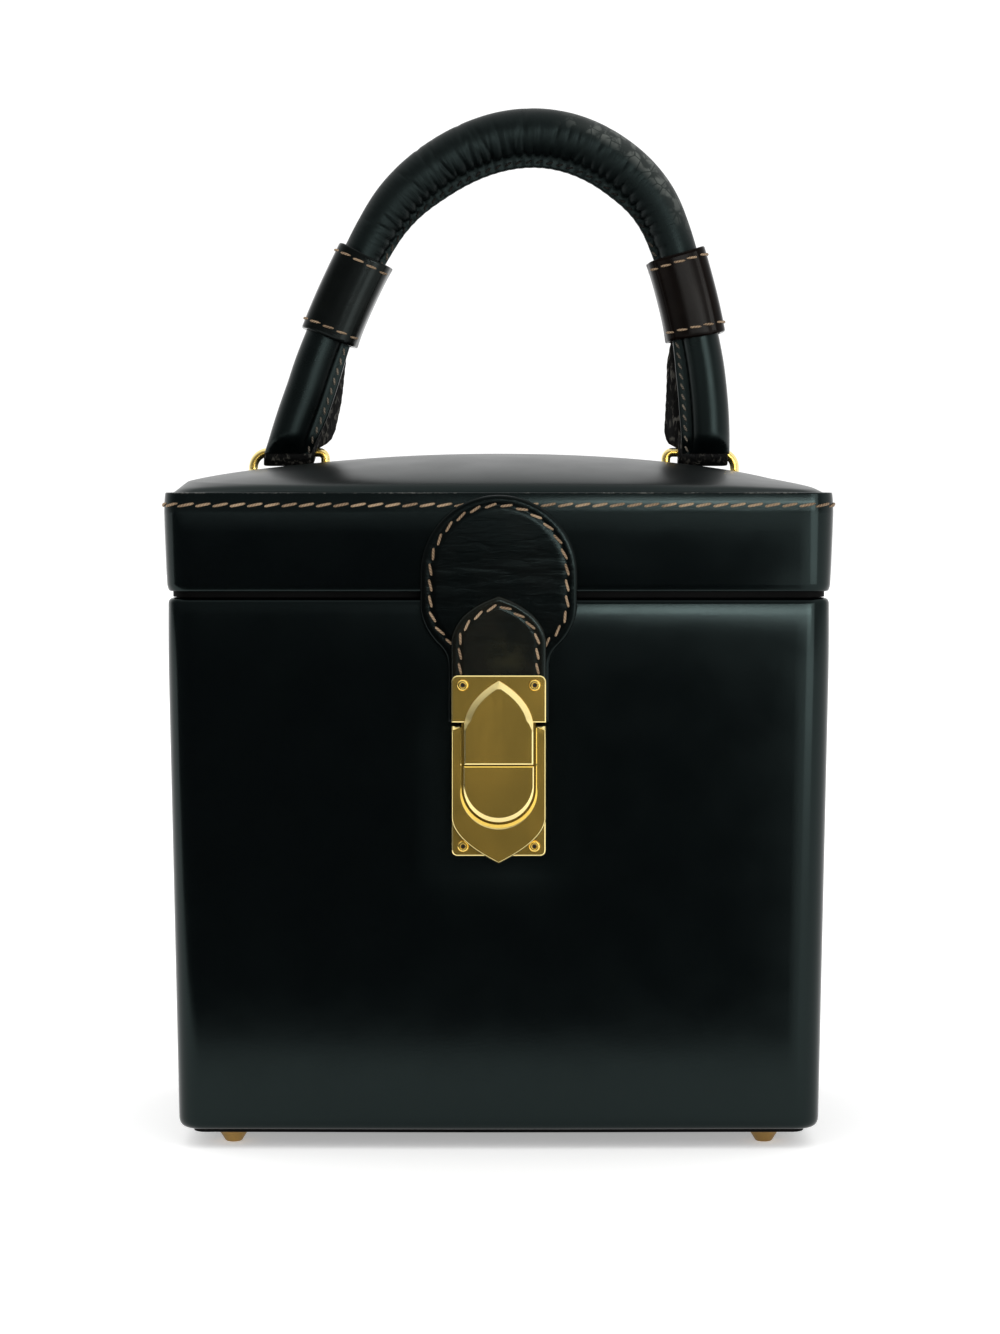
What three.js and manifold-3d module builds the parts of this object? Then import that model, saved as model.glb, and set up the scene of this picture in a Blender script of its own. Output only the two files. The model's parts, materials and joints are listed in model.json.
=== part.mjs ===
// A small box-shaped vanity bag in black leather: a hollow case on four feet, a hinged lid with a
// padded top, a rolled handle on two metal loops, and a plated press lock on a stitched leather tab.
// Millimetres, +Z up, the front faces -Y. The origin is on the floor, under the middle of the bag.

import * as THREE from "three";
import { mergeVertices } from "three/addons/utils/BufferGeometryUtils.js";
import Module from "manifold-3d";

const wasm = await Module();
wasm.setup();

// Driving dimensions

const GAP = 0.3; // what neighbouring pieces keep between them
const MIDDLE_Y = 3.7; // the lock stands out in front, so the case sits a little behind the origin

const FOOT_HEIGHT = 4.1;
const FOOT_INSET = { x: 14, y: 13 }; // from the panel corner of the base to a foot
const BASE_PANEL_THICKNESS = 1.6;
const BASE_PANEL_INSET = 3.4;

const CASE_BOTTOM = FOOT_HEIGHT + BASE_PANEL_THICKNESS + GAP;
const CASE_HEIGHT = 146.6;
const CASE_TOP = CASE_BOTTOM + CASE_HEIGHT;
const CASE_HALF = { x: 90.75, y: 61.75 }; // at the mouth
const CASE_TAPER = 2.5; // how far each side has come in at the base
const CASE_WALL = 3;
const CORNER_RADIUS = 7;
const PANEL_SWELL = 0.8; // how far a padded side stands out at its middle

const SEAM_GAP = 2.6; // between the case and the closed lid
const RIM_INSET = 1.1; // the inner rim stands this far inside the case's outside
const RIM_WALL = 1.6;
const RIM_HEIGHT = 9;

const LID_BOTTOM = CASE_TOP + SEAM_GAP;
const LID_HEIGHT = 26.3;
const LID_TOP = LID_BOTTOM + LID_HEIGHT;
const LID_HALF = { x: 92, y: 63 };
const LID_WALL = 1.9;
const LID_CROWN = 11.2; // how far the padded top rises above its edge
const CROWN_FULLNESS = 0.7; // under 1 is fuller towards the edges than a plain parabola
const LID_BOARD = 3.4; // thickness of the padded top at its edge
const LID_LEDGE = 0.6; // the padded top starts this far below the top of the band

const HINGE_ROLL_RADIUS = 1;
const HINGE_ROLL_LENGTH = 140;
const HINGE_Y = LID_HALF.y - 0.4;
const HINGE_Z = CASE_TOP + SEAM_GAP / 2;

const TAB_THICKNESS = 1.6;
const TAB_ROUND_RADIUS = 22;
const TAB_ROUND_Z = 158.9;
const TAB_NECK_HALF = 13.8;
const TAB_NECK_TOP_Z = 134.5;
const TAB_WAIST = { x: 16.6, z: 140.2, bendBelow: 3.3, bendAbove: 4.4, bendIn: 0.6 };
const TAB_SIDE_END_Z = 150;
const TAB_END_Z = 115.5;
const POINT = { half: 12.9, bottom: TAB_END_Z, shoulder: 141.5, tip: 153.3, bendIn: 1.4, bendDown: 3.8 };

const LOCK_HALF = 12.85;
const LOCK_TOP = 131.8;
const LOCK_SPLIT = 115.1; // the hasp ends and the housing starts
const LOCK_BOTTOM = 81.9;
const LOCK_TIP = 80.4;
const LOCK_SHOULDER = 92.5;
const SHIELD_BEND = { in: 0.6, down: 6 };
const LOCK_LEVEL = 0.65; // share of the case's height where the lock lies on its front
const LOCK_PLATE = 1.1;
const LOCK_EDGE = 0.5; // worn bevel round the tongue, the shield and the button
const HASP_CORNERS = { low: 0.2, high: 1.5 };
const BASE_CORNERS = { low: 1.7, high: 0.2 };
const HOUSING_DEPTH = 5;
const SLOT_HALF = 9.5;
const SLOT_BOTTOM = 89.5;
const TONGUE = { half: 9.1, bottom: 107.6, shoulder: 119, tip: 130.1, bendIn: 1.1, bendDown: 4.8 };
const TONGUE_DEPTH = 3.2;
const BUTTON_HALF = 8.9;
const BUTTON_TOP = 107.1;
const BUTTON_BOTTOM = 91.7;
const BUTTON_PROUD = 1.7; // how far the button stands out of the housing
const BUTTON_DEPTH = 5.2;
const RIVET = { radius: 1.45, height: 0.8, rim: 0.3, crown: 0.6, x: 9.8, topZ: 129.2, lowZ: 84.6 };

const HANDLE_BASE_Z = 188.5;
const HANDLE_RISE = 97.9; // from the lid to the middle of the grip at its highest
const HANDLE_HALF_SPAN = 60.5;
const HANDLE_PINCH = 2; // the legs are drawn in by this much half-way up
const HANDLE_LEAN = 9.8; // the soft arch leans to the right by this much at its top
const HANDLE_Y = -2.2;
const LEG_END_Z = 194;
const SEAM_HALF = 2.1; // half the thickness of the sewn seam along the inside of the grip
const COLLAR = { lowZ: 227, highZ: 249.5, half: 8.9, square: 3, offset: -1.1 };

const LOOP_Y = 2.5;
const LOOP_WIRE = 1.3;
const LOOP_HALF = 11;
const LOOP_BEND = { outer: 4.4, inner: 1.9 };
const LOOP_FOOT = { radius: 2.3, flat: 0.45, height: 0.75 };
const LOOP_RISE = 4.7; // from the lid's top to the middle of the bar
const SLING_THICKNESS = 1.8;
const SLING_TUCK = 5; // how far the front end of the sling runs up behind the leg

// Tables, a row for each section

// Outside of the case, from the base up: share of the height, and how far the edge is rounded in.
const CASE_OUTSIDE = [
  { share: 0, roundedIn: 3.4 },
  { share: 0.006, roundedIn: 1.1 },
  { share: 0.022, roundedIn: 0.1 },
  { share: 0.34, roundedIn: 0 },
  { share: 0.67, roundedIn: 0 },
  { share: 0.985, roundedIn: 0.05 },
  { share: 0.996, roundedIn: 0.7 },
  { share: 1, roundedIn: 1.7 },
];

// Outside of the lid's band, from its lower edge up: height above that edge, and how far it is in.
const LID_OUTSIDE = [
  { height: 0, drawnIn: 1.3 },
  { height: 1.4, drawnIn: 0.75 },
  { height: 6, drawnIn: 0.5 },
  { height: 16, drawnIn: 0.15 },
  { height: 23, drawnIn: 0 },
  { height: LID_HEIGHT - 0.6, drawnIn: 0 },
  { height: LID_HEIGHT, drawnIn: 0.5 },
];

// The padded top, from its edge to its middle, as shares of the outline.
const CROWN_RINGS = [1, 0.985, 0.95, 0.89, 0.78, 0.62, 0.42, 0.2];

// A foot, from the floor up.
const FOOT_PROFILE = [
  { radius: 0, height: 0 },
  { radius: 2.1, height: 0 },
  { radius: 2.7, height: 0.4 },
  { radius: 3.9, height: 2.9 },
  { radius: 5.2, height: 3.6 },
  { radius: 5.2, height: FOOT_HEIGHT - GAP },
  { radius: 0, height: FOOT_HEIGHT - GAP },
];

// The rolled grip, from the end of a leg to the top of the arch. Rise is the share of HANDLE_RISE,
// front and back are the depths of the roll as shares of its radius, seam is the sewn edge's height.
const GRIP_SECTIONS = [
  { rise: 0.056, radius: 6.4, front: 0.1, back: 0.12, seam: 1.6 },
  { rise: 0.085, radius: 6.5, front: 0.3, back: 0.12, seam: 1.9 },
  { rise: 0.115, radius: 6.5, front: 0.56, back: 0.12, seam: 2.1 },
  { rise: 0.17, radius: 6.6, front: 0.92, back: 0.3, seam: 2.4 },
  { rise: 0.3, radius: 6.4, front: 1, back: 0.86, seam: 2.3 },
  { rise: 0.39, radius: 5.9, front: 1, back: 1, seam: 2 },
  { rise: 0.63, radius: 5.9, front: 1, back: 1, seam: 2 },
  { rise: 0.7, radius: 6.6, front: 1, back: 1, seam: 2.8 },
  { rise: 1, radius: 6.8, front: 1, back: 1, seam: 3 },
];

// The back of a sling, from the bar up: height above the bar, half its width, and how far it lies
// towards the middle of the bag from the line of the leg.
const SLING_BACK = [
  { height: 0, half: 6.6, inwards: 1 },
  { height: 5, half: 7.2, inwards: 3.4 },
  { height: 14, half: 7, inwards: 4.2 },
  { height: 26, half: 6.2, inwards: 3.2 },
  { height: 33, half: 5.2, inwards: 1.4 },
  { height: 42, half: 4.8, inwards: 0.9 },
];

// Materials

const material = (name, color, roughness, metalness) =>
  new THREE.MeshStandardMaterial({ name, color, roughness, metalness });
const LEATHER = material("black_leather", 0x0d1110, 0.35, 0);
const GRIP_LEATHER = material("grip_leather", 0x111615, 0.45, 0);
const TAB_LEATHER = material("tab_leather", 0x17120f, 0.4, 0);
const RIM_LEATHER = material("rim_leather", 0x060606, 0.7, 0);
const GOLD = material("gold_plate", 0xb8963f, 0.2, 1);
const AGED_BRASS = material("aged_brass", 0x8a6a2c, 0.4, 1);

// Shape helpers

const SIDE_STEPS = 6;
const CORNER_STEPS = 4;
const CURVE_STEPS = 8;
const FOOT_SIDES = 14;
const RIVET_SIDES = 12;
const LOOP_SIDES = 10;
const GRIP_SIDES = 12;
const GRIP_STEPS = 44;
const COLLAR_SIDES = 24;
const COLLAR_STEPS = 5;
const SIDES = [
  ["left", -1],
  ["right", 1],
];

// The outline of a box-shaped level, counter-clockwise from above: round corners, sides that swell.
function boxOutline(halfX, halfY, corner, swell, z) {
  const points = [];
  const straight = { x: halfX - corner, y: halfY - corner };
  for (let side = 0; side < 4; side++) {
    const along = side % 2 === 0 ? straight.y : straight.x;
    const out = side % 2 === 0 ? halfX : halfY;
    const turn = (side * Math.PI) / 2;
    const place = (across, ahead) =>
      new THREE.Vector3(across, ahead, z).applyAxisAngle(new THREE.Vector3(0, 0, 1), turn);
    for (let i = 0; i < SIDE_STEPS; i++) {
      const t = -1 + (2 * i) / SIDE_STEPS;
      points.push(place(out + swell * (1 - t * t), t * along));
    }
    for (let i = 0; i < CORNER_STEPS; i++) {
      const a = ((Math.PI / 2) * i) / CORNER_STEPS;
      points.push(place(out - corner + corner * Math.cos(a), along + corner * Math.sin(a)));
    }
  }
  return points;
}

// A closed body through rings of equally many points. Each ring runs counter-clockwise about the way
// that the rings follow. Where the rings don't close on themselves, both ends get a flat cap.
function ringSolid(rings, closesOnItself) {
  const perRing = rings[0].length;
  const corners = rings.flat();
  const faces = [];
  const spans = closesOnItself ? rings.length : rings.length - 1;
  for (let i = 0; i < spans; i++) {
    const here = i * perRing;
    const next = ((i + 1) % rings.length) * perRing;
    for (let j = 0; j < perRing; j++) {
      const k = (j + 1) % perRing;
      faces.push(here + j, here + k, next + k, here + j, next + k, next + j);
    }
  }
  if (!closesOnItself) {
    [0, rings.length - 1].forEach((end, isLast) => {
      const middle = new THREE.Vector3();
      rings[end].forEach((p) => middle.addScaledVector(p, 1 / perRing));
      const centre = corners.push(middle) - 1;
      for (let j = 0; j < perRing; j++) {
        const a = end * perRing + j;
        const b = end * perRing + ((j + 1) % perRing);
        faces.push(centre, isLast ? a : b, isLast ? b : a);
      }
    });
  }
  return new THREE.BufferGeometry().setFromPoints(corners).setIndex(faces);
}

// A shape from the right half of its outline: it is mirrored, and points on the middle line are kept once.
function mirroredShape(rightHalf) {
  const right = rightHalf.getPoints(CURVE_STEPS);
  const left = right.map((p) => new THREE.Vector2(-p.x, p.y)).reverse();
  return new THREE.Shape([...right, ...left.filter((p) => p.x < -1e-6)]);
}

// A flat piece cut to a front outline in X and Z, its back at backY and its front nearer by depth.
function frontPlate(shape, backY, depth, edge = 0) {
  const geometry = new THREE.ExtrudeGeometry(shape, {
    depth: depth - 2 * edge,
    bevelEnabled: edge > 0,
    bevelSize: edge,
    bevelOffset: -edge,
    bevelThickness: edge,
    bevelSegments: 1,
  });
  return geometry.rotateX(Math.PI / 2).translate(0, backY - edge, 0);
}

function asSolid(geometry) {
  const bare = geometry.clone();
  bare.deleteAttribute("normal");
  bare.deleteAttribute("uv");
  const merged = mergeVertices(bare, 1e-3);
  return new wasm.Manifold(
    new wasm.Mesh({
      numProp: 3,
      vertProperties: merged.attributes.position.array,
      triVerts: new Uint32Array(merged.index.array),
    }),
  );
}

function asGeometry(solid) {
  const made = solid.getMesh();
  return new THREE.BufferGeometry()
    .setAttribute("position", new THREE.BufferAttribute(made.vertProperties, 3))
    .setIndex(new THREE.BufferAttribute(made.triVerts, 1));
}

// The value of one column of a table at a place, straight between the rows.
function readTable(rows, key, at, column) {
  const next = rows.findIndex((row) => row[key] >= at);
  if (next === 0) return rows[0][column];
  if (next < 0) return rows.at(-1)[column];
  const [low, high] = [rows[next - 1], rows[next]];
  const share = (at - low[key]) / (high[key] - low[key]);
  return THREE.MathUtils.lerp(low[column], high[column], share);
}

const bag = new THREE.Group();
bag.position.y = MIDDLE_Y;

function addPiece(name, geometry, finish) {
  const mesh = new THREE.Mesh(geometry, finish);
  mesh.name = name;
  bag.add(mesh);
  return mesh;
}

// Case

const caseHalf = (share, axis) => CASE_HALF[axis] - CASE_TAPER * (1 - share);

function caseLevel(share, inset) {
  const height = CASE_BOTTOM + CASE_HEIGHT * share;
  const corner = Math.max(CORNER_RADIUS - inset, 2.5);
  const [halfX, halfY] = ["x", "y"].map((axis) => caseHalf(share, axis) - inset);
  return boxOutline(halfX, halfY, corner, PANEL_SWELL, height);
}

function caseShell() {
  const floorShare = CASE_WALL / CASE_HEIGHT;
  const outside = CASE_OUTSIDE.map((row) => caseLevel(row.share, row.roundedIn));
  const inside = [1, 0.5, floorShare].map((share) => caseLevel(share, CASE_WALL));
  return ringSolid([...outside, ...inside], false);
}

function innerRim() {
  const level = (inset, z) =>
    boxOutline(CASE_HALF.x - inset, CASE_HALF.y - inset, CORNER_RADIUS - inset, PANEL_SWELL, z);
  const low = CASE_TOP + GAP;
  const high = low + RIM_HEIGHT;
  const inner = RIM_INSET + RIM_WALL;
  const outside = [level(RIM_INSET, low), level(RIM_INSET, high)];
  const inside = [level(inner, high), level(inner, low)];
  return ringSolid([...outside, ...inside], true);
}

function basePanel() {
  const level = (z) =>
    boxOutline(
      caseHalf(0, "x") - BASE_PANEL_INSET,
      caseHalf(0, "y") - BASE_PANEL_INSET,
      CORNER_RADIUS - BASE_PANEL_INSET,
      PANEL_SWELL,
      z,
    );
  return ringSolid([level(FOOT_HEIGHT), level(FOOT_HEIGHT + BASE_PANEL_THICKNESS)], false);
}

addPiece("case_shell", caseShell(), LEATHER);
addPiece("inner_rim", innerRim(), RIM_LEATHER);
addPiece("base_panel", basePanel(), RIM_LEATHER);

// Feet

const footProfile = FOOT_PROFILE.map((row) => new THREE.Vector2(row.radius, row.height));
const DEPTHS = [
  ["front", -1],
  ["back", 1],
];
for (const [depthName, front] of DEPTHS) {
  for (const [sideName, side] of SIDES) {
    const foot = new THREE.LatheGeometry(footProfile, FOOT_SIDES).rotateX(Math.PI / 2);
    const mesh = addPiece(`foot_${depthName}_${sideName}`, foot, AGED_BRASS);
    mesh.position.x = side * (caseHalf(0, "x") - FOOT_INSET.x);
    mesh.position.y = front * (caseHalf(0, "y") - FOOT_INSET.y);
  }
}

// Lid

function lidLevel(halfInset, height) {
  const corner = Math.max(CORNER_RADIUS - halfInset, 3);
  return boxOutline(LID_HALF.x - halfInset, LID_HALF.y - halfInset, corner, PANEL_SWELL, height);
}

function lidBand() {
  const outside = LID_OUTSIDE.map((row) => lidLevel(row.drawnIn, LID_BOTTOM + row.height));
  const inside = [LID_TOP, LID_BOTTOM].map((z) => lidLevel(LID_WALL, z));
  return ringSolid([...outside, ...inside], true);
}

const PAD_HALF = {
  x: LID_HALF.x - LID_WALL - GAP,
  y: LID_HALF.y - LID_WALL - GAP,
};

// Height of the padded top over a point of the lid.
function padHeight(x, y) {
  const reach = { x: PAD_HALF.x + PANEL_SWELL, y: PAD_HALF.y + PANEL_SWELL };
  const fall = Math.max(0, 1 - (x / reach.x) ** 2) * Math.max(0, 1 - (y / reach.y) ** 2);
  return LID_TOP - LID_LEDGE + LID_CROWN * fall ** CROWN_FULLNESS;
}

function lidPad() {
  const corner = CORNER_RADIUS - LID_WALL - GAP;
  const outline = (z) => boxOutline(PAD_HALF.x, PAD_HALF.y, corner, PANEL_SWELL, z);
  const under = outline(LID_TOP - LID_LEDGE - LID_BOARD);
  const crown = CROWN_RINGS.map((share) =>
    outline(0).map((p) => new THREE.Vector3(p.x * share, p.y * share, padHeight(p.x * share, p.y * share))),
  );
  return ringSolid([under, ...crown], false);
}

addPiece("lid_band", lidBand(), LEATHER);
addPiece("lid_top", lidPad(), LEATHER);

function hingeRoll() {
  return new THREE.CylinderGeometry(HINGE_ROLL_RADIUS, HINGE_ROLL_RADIUS, HINGE_ROLL_LENGTH, 12)
    .rotateZ(Math.PI / 2)
    .translate(0, HINGE_Y, HINGE_Z);
}
addPiece("hinge_roll", hingeRoll(), LEATHER);

// Leather tab on the front of the lid

function tabShape() {
  const half = new THREE.Path();
  half.moveTo(TAB_NECK_HALF, TAB_END_Z);
  half.lineTo(TAB_NECK_HALF, TAB_NECK_TOP_Z);
  half.quadraticCurveTo(TAB_NECK_HALF, TAB_NECK_TOP_Z + TAB_WAIST.bendBelow, TAB_WAIST.x, TAB_WAIST.z);
  const bend = { x: TAB_ROUND_RADIUS - TAB_WAIST.bendIn, z: TAB_WAIST.z + TAB_WAIST.bendAbove };
  half.quadraticCurveTo(bend.x, bend.z, TAB_ROUND_RADIUS, TAB_SIDE_END_Z);
  half.lineTo(TAB_ROUND_RADIUS, TAB_ROUND_Z);
  half.absarc(0, TAB_ROUND_Z, TAB_ROUND_RADIUS, 0, Math.PI / 2, false);
  return mirroredShape(half);
}

// A straight-sided piece that ends in a pointed arch.
function pointedShape(arch) {
  const half = new THREE.Path();
  half.moveTo(arch.half, arch.bottom);
  half.lineTo(arch.half, arch.shoulder);
  half.quadraticCurveTo(arch.half - arch.bendIn, arch.tip - arch.bendDown, 0, arch.tip);
  return mirroredShape(half);
}

const TAB_BACK_Y = -(LID_HALF.y + PANEL_SWELL + GAP);
const POINT_BACK_Y = TAB_BACK_Y - TAB_THICKNESS - GAP;
const HASP_BACK_Y = POINT_BACK_Y - TAB_THICKNESS - GAP;
addPiece("tab_back", frontPlate(tabShape(), TAB_BACK_Y, TAB_THICKNESS), TAB_LEATHER);
addPiece("tab_front", frontPlate(pointedShape(POINT), POINT_BACK_Y, TAB_THICKNESS), TAB_LEATHER);

// Press lock: a hasp on the tab, a housing on the case, and the button that lets the hasp go

function plateShape(low, high, corner) {
  const half = new THREE.Path();
  half.moveTo(LOCK_HALF - corner.low, low);
  half.quadraticCurveTo(LOCK_HALF, low, LOCK_HALF, low + corner.low);
  half.lineTo(LOCK_HALF, high - corner.high);
  half.quadraticCurveTo(LOCK_HALF, high, LOCK_HALF - corner.high, high);
  return mirroredShape(half);
}

function housingShape(top) {
  const slotMiddle = SLOT_BOTTOM + SLOT_HALF;
  const half = new THREE.Path();
  half.moveTo(0, LOCK_TIP);
  const bend = { x: LOCK_HALF - SHIELD_BEND.in, z: LOCK_SHOULDER - SHIELD_BEND.down };
  half.quadraticCurveTo(bend.x, bend.z, LOCK_HALF, LOCK_SHOULDER);
  half.lineTo(LOCK_HALF, top);
  half.lineTo(SLOT_HALF, top);
  half.lineTo(SLOT_HALF, slotMiddle);
  half.absarc(0, slotMiddle, SLOT_HALF, 0, -Math.PI / 2, true);
  return mirroredShape(half);
}

function buttonShape() {
  const middle = BUTTON_BOTTOM + BUTTON_HALF;
  const half = new THREE.Path();
  half.moveTo(0, BUTTON_BOTTOM);
  half.absarc(0, middle, BUTTON_HALF, -Math.PI / 2, 0, false);
  half.lineTo(BUTTON_HALF, BUTTON_TOP);
  return mirroredShape(half);
}

function hasp() {
  const plate = frontPlate(plateShape(LOCK_SPLIT, LOCK_TOP, HASP_CORNERS), HASP_BACK_Y, LOCK_PLATE);
  const tongue = frontPlate(pointedShape(TONGUE), HASP_BACK_Y, TONGUE_DEPTH, LOCK_EDGE);
  return asGeometry(asSolid(plate).add(asSolid(tongue)));
}

const BASE_BACK_Y = -(caseHalf(LOCK_LEVEL, "y") + PANEL_SWELL + GAP);
const HOUSING_FRONT_Y = BASE_BACK_Y - LOCK_PLATE - HOUSING_DEPTH;

function lockHousing() {
  const top = LOCK_SPLIT - GAP;
  const plate = frontPlate(plateShape(LOCK_BOTTOM, top, BASE_CORNERS), BASE_BACK_Y, LOCK_PLATE);
  const shield = frontPlate(housingShape(top), BASE_BACK_Y, LOCK_PLATE + HOUSING_DEPTH, LOCK_EDGE);
  return asGeometry(asSolid(plate).add(asSolid(shield)));
}

function lockButton() {
  const back = HOUSING_FRONT_Y - BUTTON_PROUD + BUTTON_DEPTH;
  return frontPlate(buttonShape(), back, BUTTON_DEPTH, LOCK_EDGE);
}

addPiece("lock_hasp", hasp(), GOLD);
addPiece("lock_housing", lockHousing(), GOLD);
addPiece("lock_button", lockButton(), GOLD);

const rivetProfile = [
  [0, GAP],
  [RIVET.radius, GAP],
  [RIVET.radius, GAP + RIVET.height * RIVET.rim],
  [RIVET.radius * RIVET.crown, GAP + RIVET.height],
  [0, GAP + RIVET.height],
].map(([radius, height]) => new THREE.Vector2(radius, height));
for (const [level, z, seatY] of [
  ["top", RIVET.topZ, HASP_BACK_Y - LOCK_PLATE],
  ["low", RIVET.lowZ, BASE_BACK_Y - LOCK_PLATE],
]) {
  for (const [sideName, side] of SIDES) {
    const rivet = new THREE.LatheGeometry(rivetProfile, RIVET_SIDES).rotateX(Math.PI);
    addPiece(`lock_rivet_${level}_${sideName}`, rivet, GOLD).position.set(side * RIVET.x, seatY, z);
  }
}

// Metal loops that carry the handle: a bar bent down at both ends, with a flared foot on the lid

const LOOP_BAR_Z = padHeight(HANDLE_HALF_SPAN, LOOP_Y) + LOOP_RISE;

// A round tube through points of the XZ plane, each with its own radius.
function planarTube(line, y) {
  const rings = line.map((here, i) => {
    const before = line[Math.max(i - 1, 0)];
    const after = line[Math.min(i + 1, line.length - 1)];
    const way = new THREE.Vector2(after.x - before.x, after.z - before.z).normalize();
    return Array.from({ length: LOOP_SIDES }, (_, k) => {
      const a = (2 * Math.PI * k) / LOOP_SIDES;
      const out = here.radius * Math.cos(a);
      return new THREE.Vector3(here.x - way.y * out, y - here.radius * Math.sin(a), here.z + way.x * out);
    });
  });
  return ringSolid(rings, false);
}

function handleLoop(side) {
  const middle = side * HANDLE_HALF_SPAN;
  const half = (end) => {
    const x = middle + end * LOOP_HALF;
    const seat = padHeight(x - side * LOOP_FOOT.radius, LOOP_Y) + GAP;
    const turn = end === side ? LOOP_BEND.outer : LOOP_BEND.inner;
    const bend = [0, 22.5, 45, 67.5, 90].map((degrees) => {
      const a = THREE.MathUtils.degToRad(degrees);
      return {
        x: x - end * turn * (1 - Math.cos(a)),
        z: LOOP_BAR_Z - turn * (1 - Math.sin(a)),
        radius: LOOP_WIRE,
      };
    });
    return [
      { x, z: seat, radius: LOOP_FOOT.radius },
      { x, z: seat + LOOP_FOOT.flat, radius: LOOP_FOOT.radius },
      { x, z: seat + LOOP_FOOT.height, radius: LOOP_WIRE },
      ...bend,
    ];
  };
  return planarTube([...half(-1), ...half(1).reverse()], LOOP_Y);
}

// Rolled handle

// Where the middle of the grip runs: half an ellipse, drawn in a little half-way up, that leans.
function gripLine(angle) {
  const rise = Math.sin(angle);
  const reach = HANDLE_HALF_SPAN * Math.cos(angle);
  const pinch = Math.sign(Math.cos(angle)) * HANDLE_PINCH * Math.sin(Math.PI * rise);
  return new THREE.Vector2(pinch - reach + HANDLE_LEAN * rise, HANDLE_BASE_Z + HANDLE_RISE * rise);
}
const angleAtHeight = (z) => Math.asin((z - HANDLE_BASE_Z) / HANDLE_RISE);

// Gives a function that places a point of the grip's section: outwards from the arch, and to the front.
function gripSection(angle) {
  const step = 0.004;
  const here = gripLine(angle);
  const way = gripLine(angle + step).sub(gripLine(angle - step)).normalize();
  return (out, front) =>
    new THREE.Vector3(here.x - way.y * out, HANDLE_Y - front, here.y + way.x * out);
}

// Round roll with the sewn seam standing out on the inside of the arch.
function gripRing(angle, extra) {
  const rise = Math.sin(angle);
  const [radius, front, back, seam] = ["radius", "front", "back", "seam"].map((column) =>
    readTable(GRIP_SECTIONS, "rise", rise, column),
  );
  const place = gripSection(angle);
  const depth = (v) => v * (v > 0 ? front : back) + Math.sign(v) * extra;
  const open = Math.PI - Math.asin(SEAM_HALF / radius);
  const points = [];
  for (let i = 0; i <= GRIP_SIDES; i++) {
    const a = -open + (2 * open * i) / GRIP_SIDES;
    points.push(place((radius + extra) * Math.cos(a), depth(radius * Math.sin(a))));
  }
  points.push(place(-radius - seam - extra, depth(SEAM_HALF)));
  points.push(place(-radius - seam - extra, depth(-SEAM_HALF)));
  return points;
}

function grip(from, to, steps, extra) {
  const rings = [];
  for (let i = 0; i <= steps; i++) {
    rings.push(gripRing(from + ((to - from) * i) / steps, extra));
  }
  return ringSolid(rings, false);
}

const legEnd = angleAtHeight(LEG_END_Z);
addPiece("handle_grip", grip(legEnd, Math.PI - legEnd, GRIP_STEPS, 0), GRIP_LEATHER);

// The strap end of a leg: from behind the leg, round the bar of the metal loop, and up into the collar.
function sling(side, extra) {
  const legAngle = (z) => (side < 0 ? angleAtHeight(z) : Math.PI - angleAtHeight(z));
  const turnRadius = LOOP_WIRE + GAP + SLING_THICKNESS / 2;
  const stations = [
    { y: -turnRadius, z: SLING_TUCK, way: [0, -1], row: 0 },
    { y: -turnRadius, z: SLING_TUCK / 2, way: [0, -1], row: 0 },
  ];
  for (let degrees = 0; degrees <= 180; degrees += 22.5) {
    const a = THREE.MathUtils.degToRad(degrees);
    const [c, s] = [Math.cos(a), Math.sin(a)];
    stations.push({ y: -turnRadius * c, z: -turnRadius * s, way: [s, -c], row: 0 });
  }
  for (const row of SLING_BACK.slice(1)) {
    stations.push({ y: turnRadius, z: row.height, way: [0, 1], row: row.height });
  }
  const rings = stations.map(({ y, z, way, row }) => {
    const level = LOOP_BAR_Z + z;
    const legX = gripLine(legAngle(Math.max(level, HANDLE_BASE_Z))).x;
    const half = readTable(SLING_BACK, "height", row, "half") + extra;
    const middle = legX - side * readTable(SLING_BACK, "height", row, "inwards");
    const thick = SLING_THICKNESS / 2 + extra;
    return [
      [1, 1],
      [-1, 1],
      [-1, -1],
      [1, -1],
    ].map(([inner, across]) => {
      const off = inner * thick;
      return new THREE.Vector3(middle + across * half, LOOP_Y + y - way[1] * off, level + way[0] * off);
    });
  });
  return ringSolid(rings, false);
}

// A leather wrap round the grip and the strap end, cut to fit both.
function collar(side) {
  const [low, high] = [angleAtHeight(COLLAR.lowZ), angleAtHeight(COLLAR.highZ)];
  const [from, to] = side < 0 ? [low, high] : [Math.PI - high, Math.PI - low];
  const rings = Array.from({ length: COLLAR_STEPS + 1 }, (_, i) => {
    const place = gripSection(from + ((to - from) * i) / COLLAR_STEPS);
    return Array.from({ length: COLLAR_SIDES }, (_, k) => {
      const a = (2 * Math.PI * k) / COLLAR_SIDES;
      const [c, s] = [Math.cos(a), Math.sin(a)];
      const corner = Math.abs(c) ** COLLAR.square + Math.abs(s) ** COLLAR.square;
      const reach = COLLAR.half / corner ** (1 / COLLAR.square);
      return place(COLLAR.offset + reach * c, COLLAR.offset + reach * s);
    });
  });
  const spare = 0.12; // the core runs past both ends of the collar by this angle
  const core = asSolid(grip(from - spare, to + spare, 10, GAP));
  const wrapped = asSolid(ringSolid(rings, false)).subtract(core);
  return asGeometry(wrapped.subtract(asSolid(sling(side, GAP))));
}

for (const [sideName, side] of SIDES) {
  addPiece(`handle_loop_${sideName}`, handleLoop(side), GOLD);
  addPiece(`handle_sling_${sideName}`, sling(side, 0), GRIP_LEATHER);
  addPiece(`handle_collar_${sideName}`, collar(side), TAB_LEATHER);
}

export default bag;
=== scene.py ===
# A box-shaped vanity bag in glossy black leather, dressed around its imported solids, from the case up to
# the handle. Lengths are in millimetres until a mesh is made, and the front of the bag faces -Y.

import json

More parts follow.
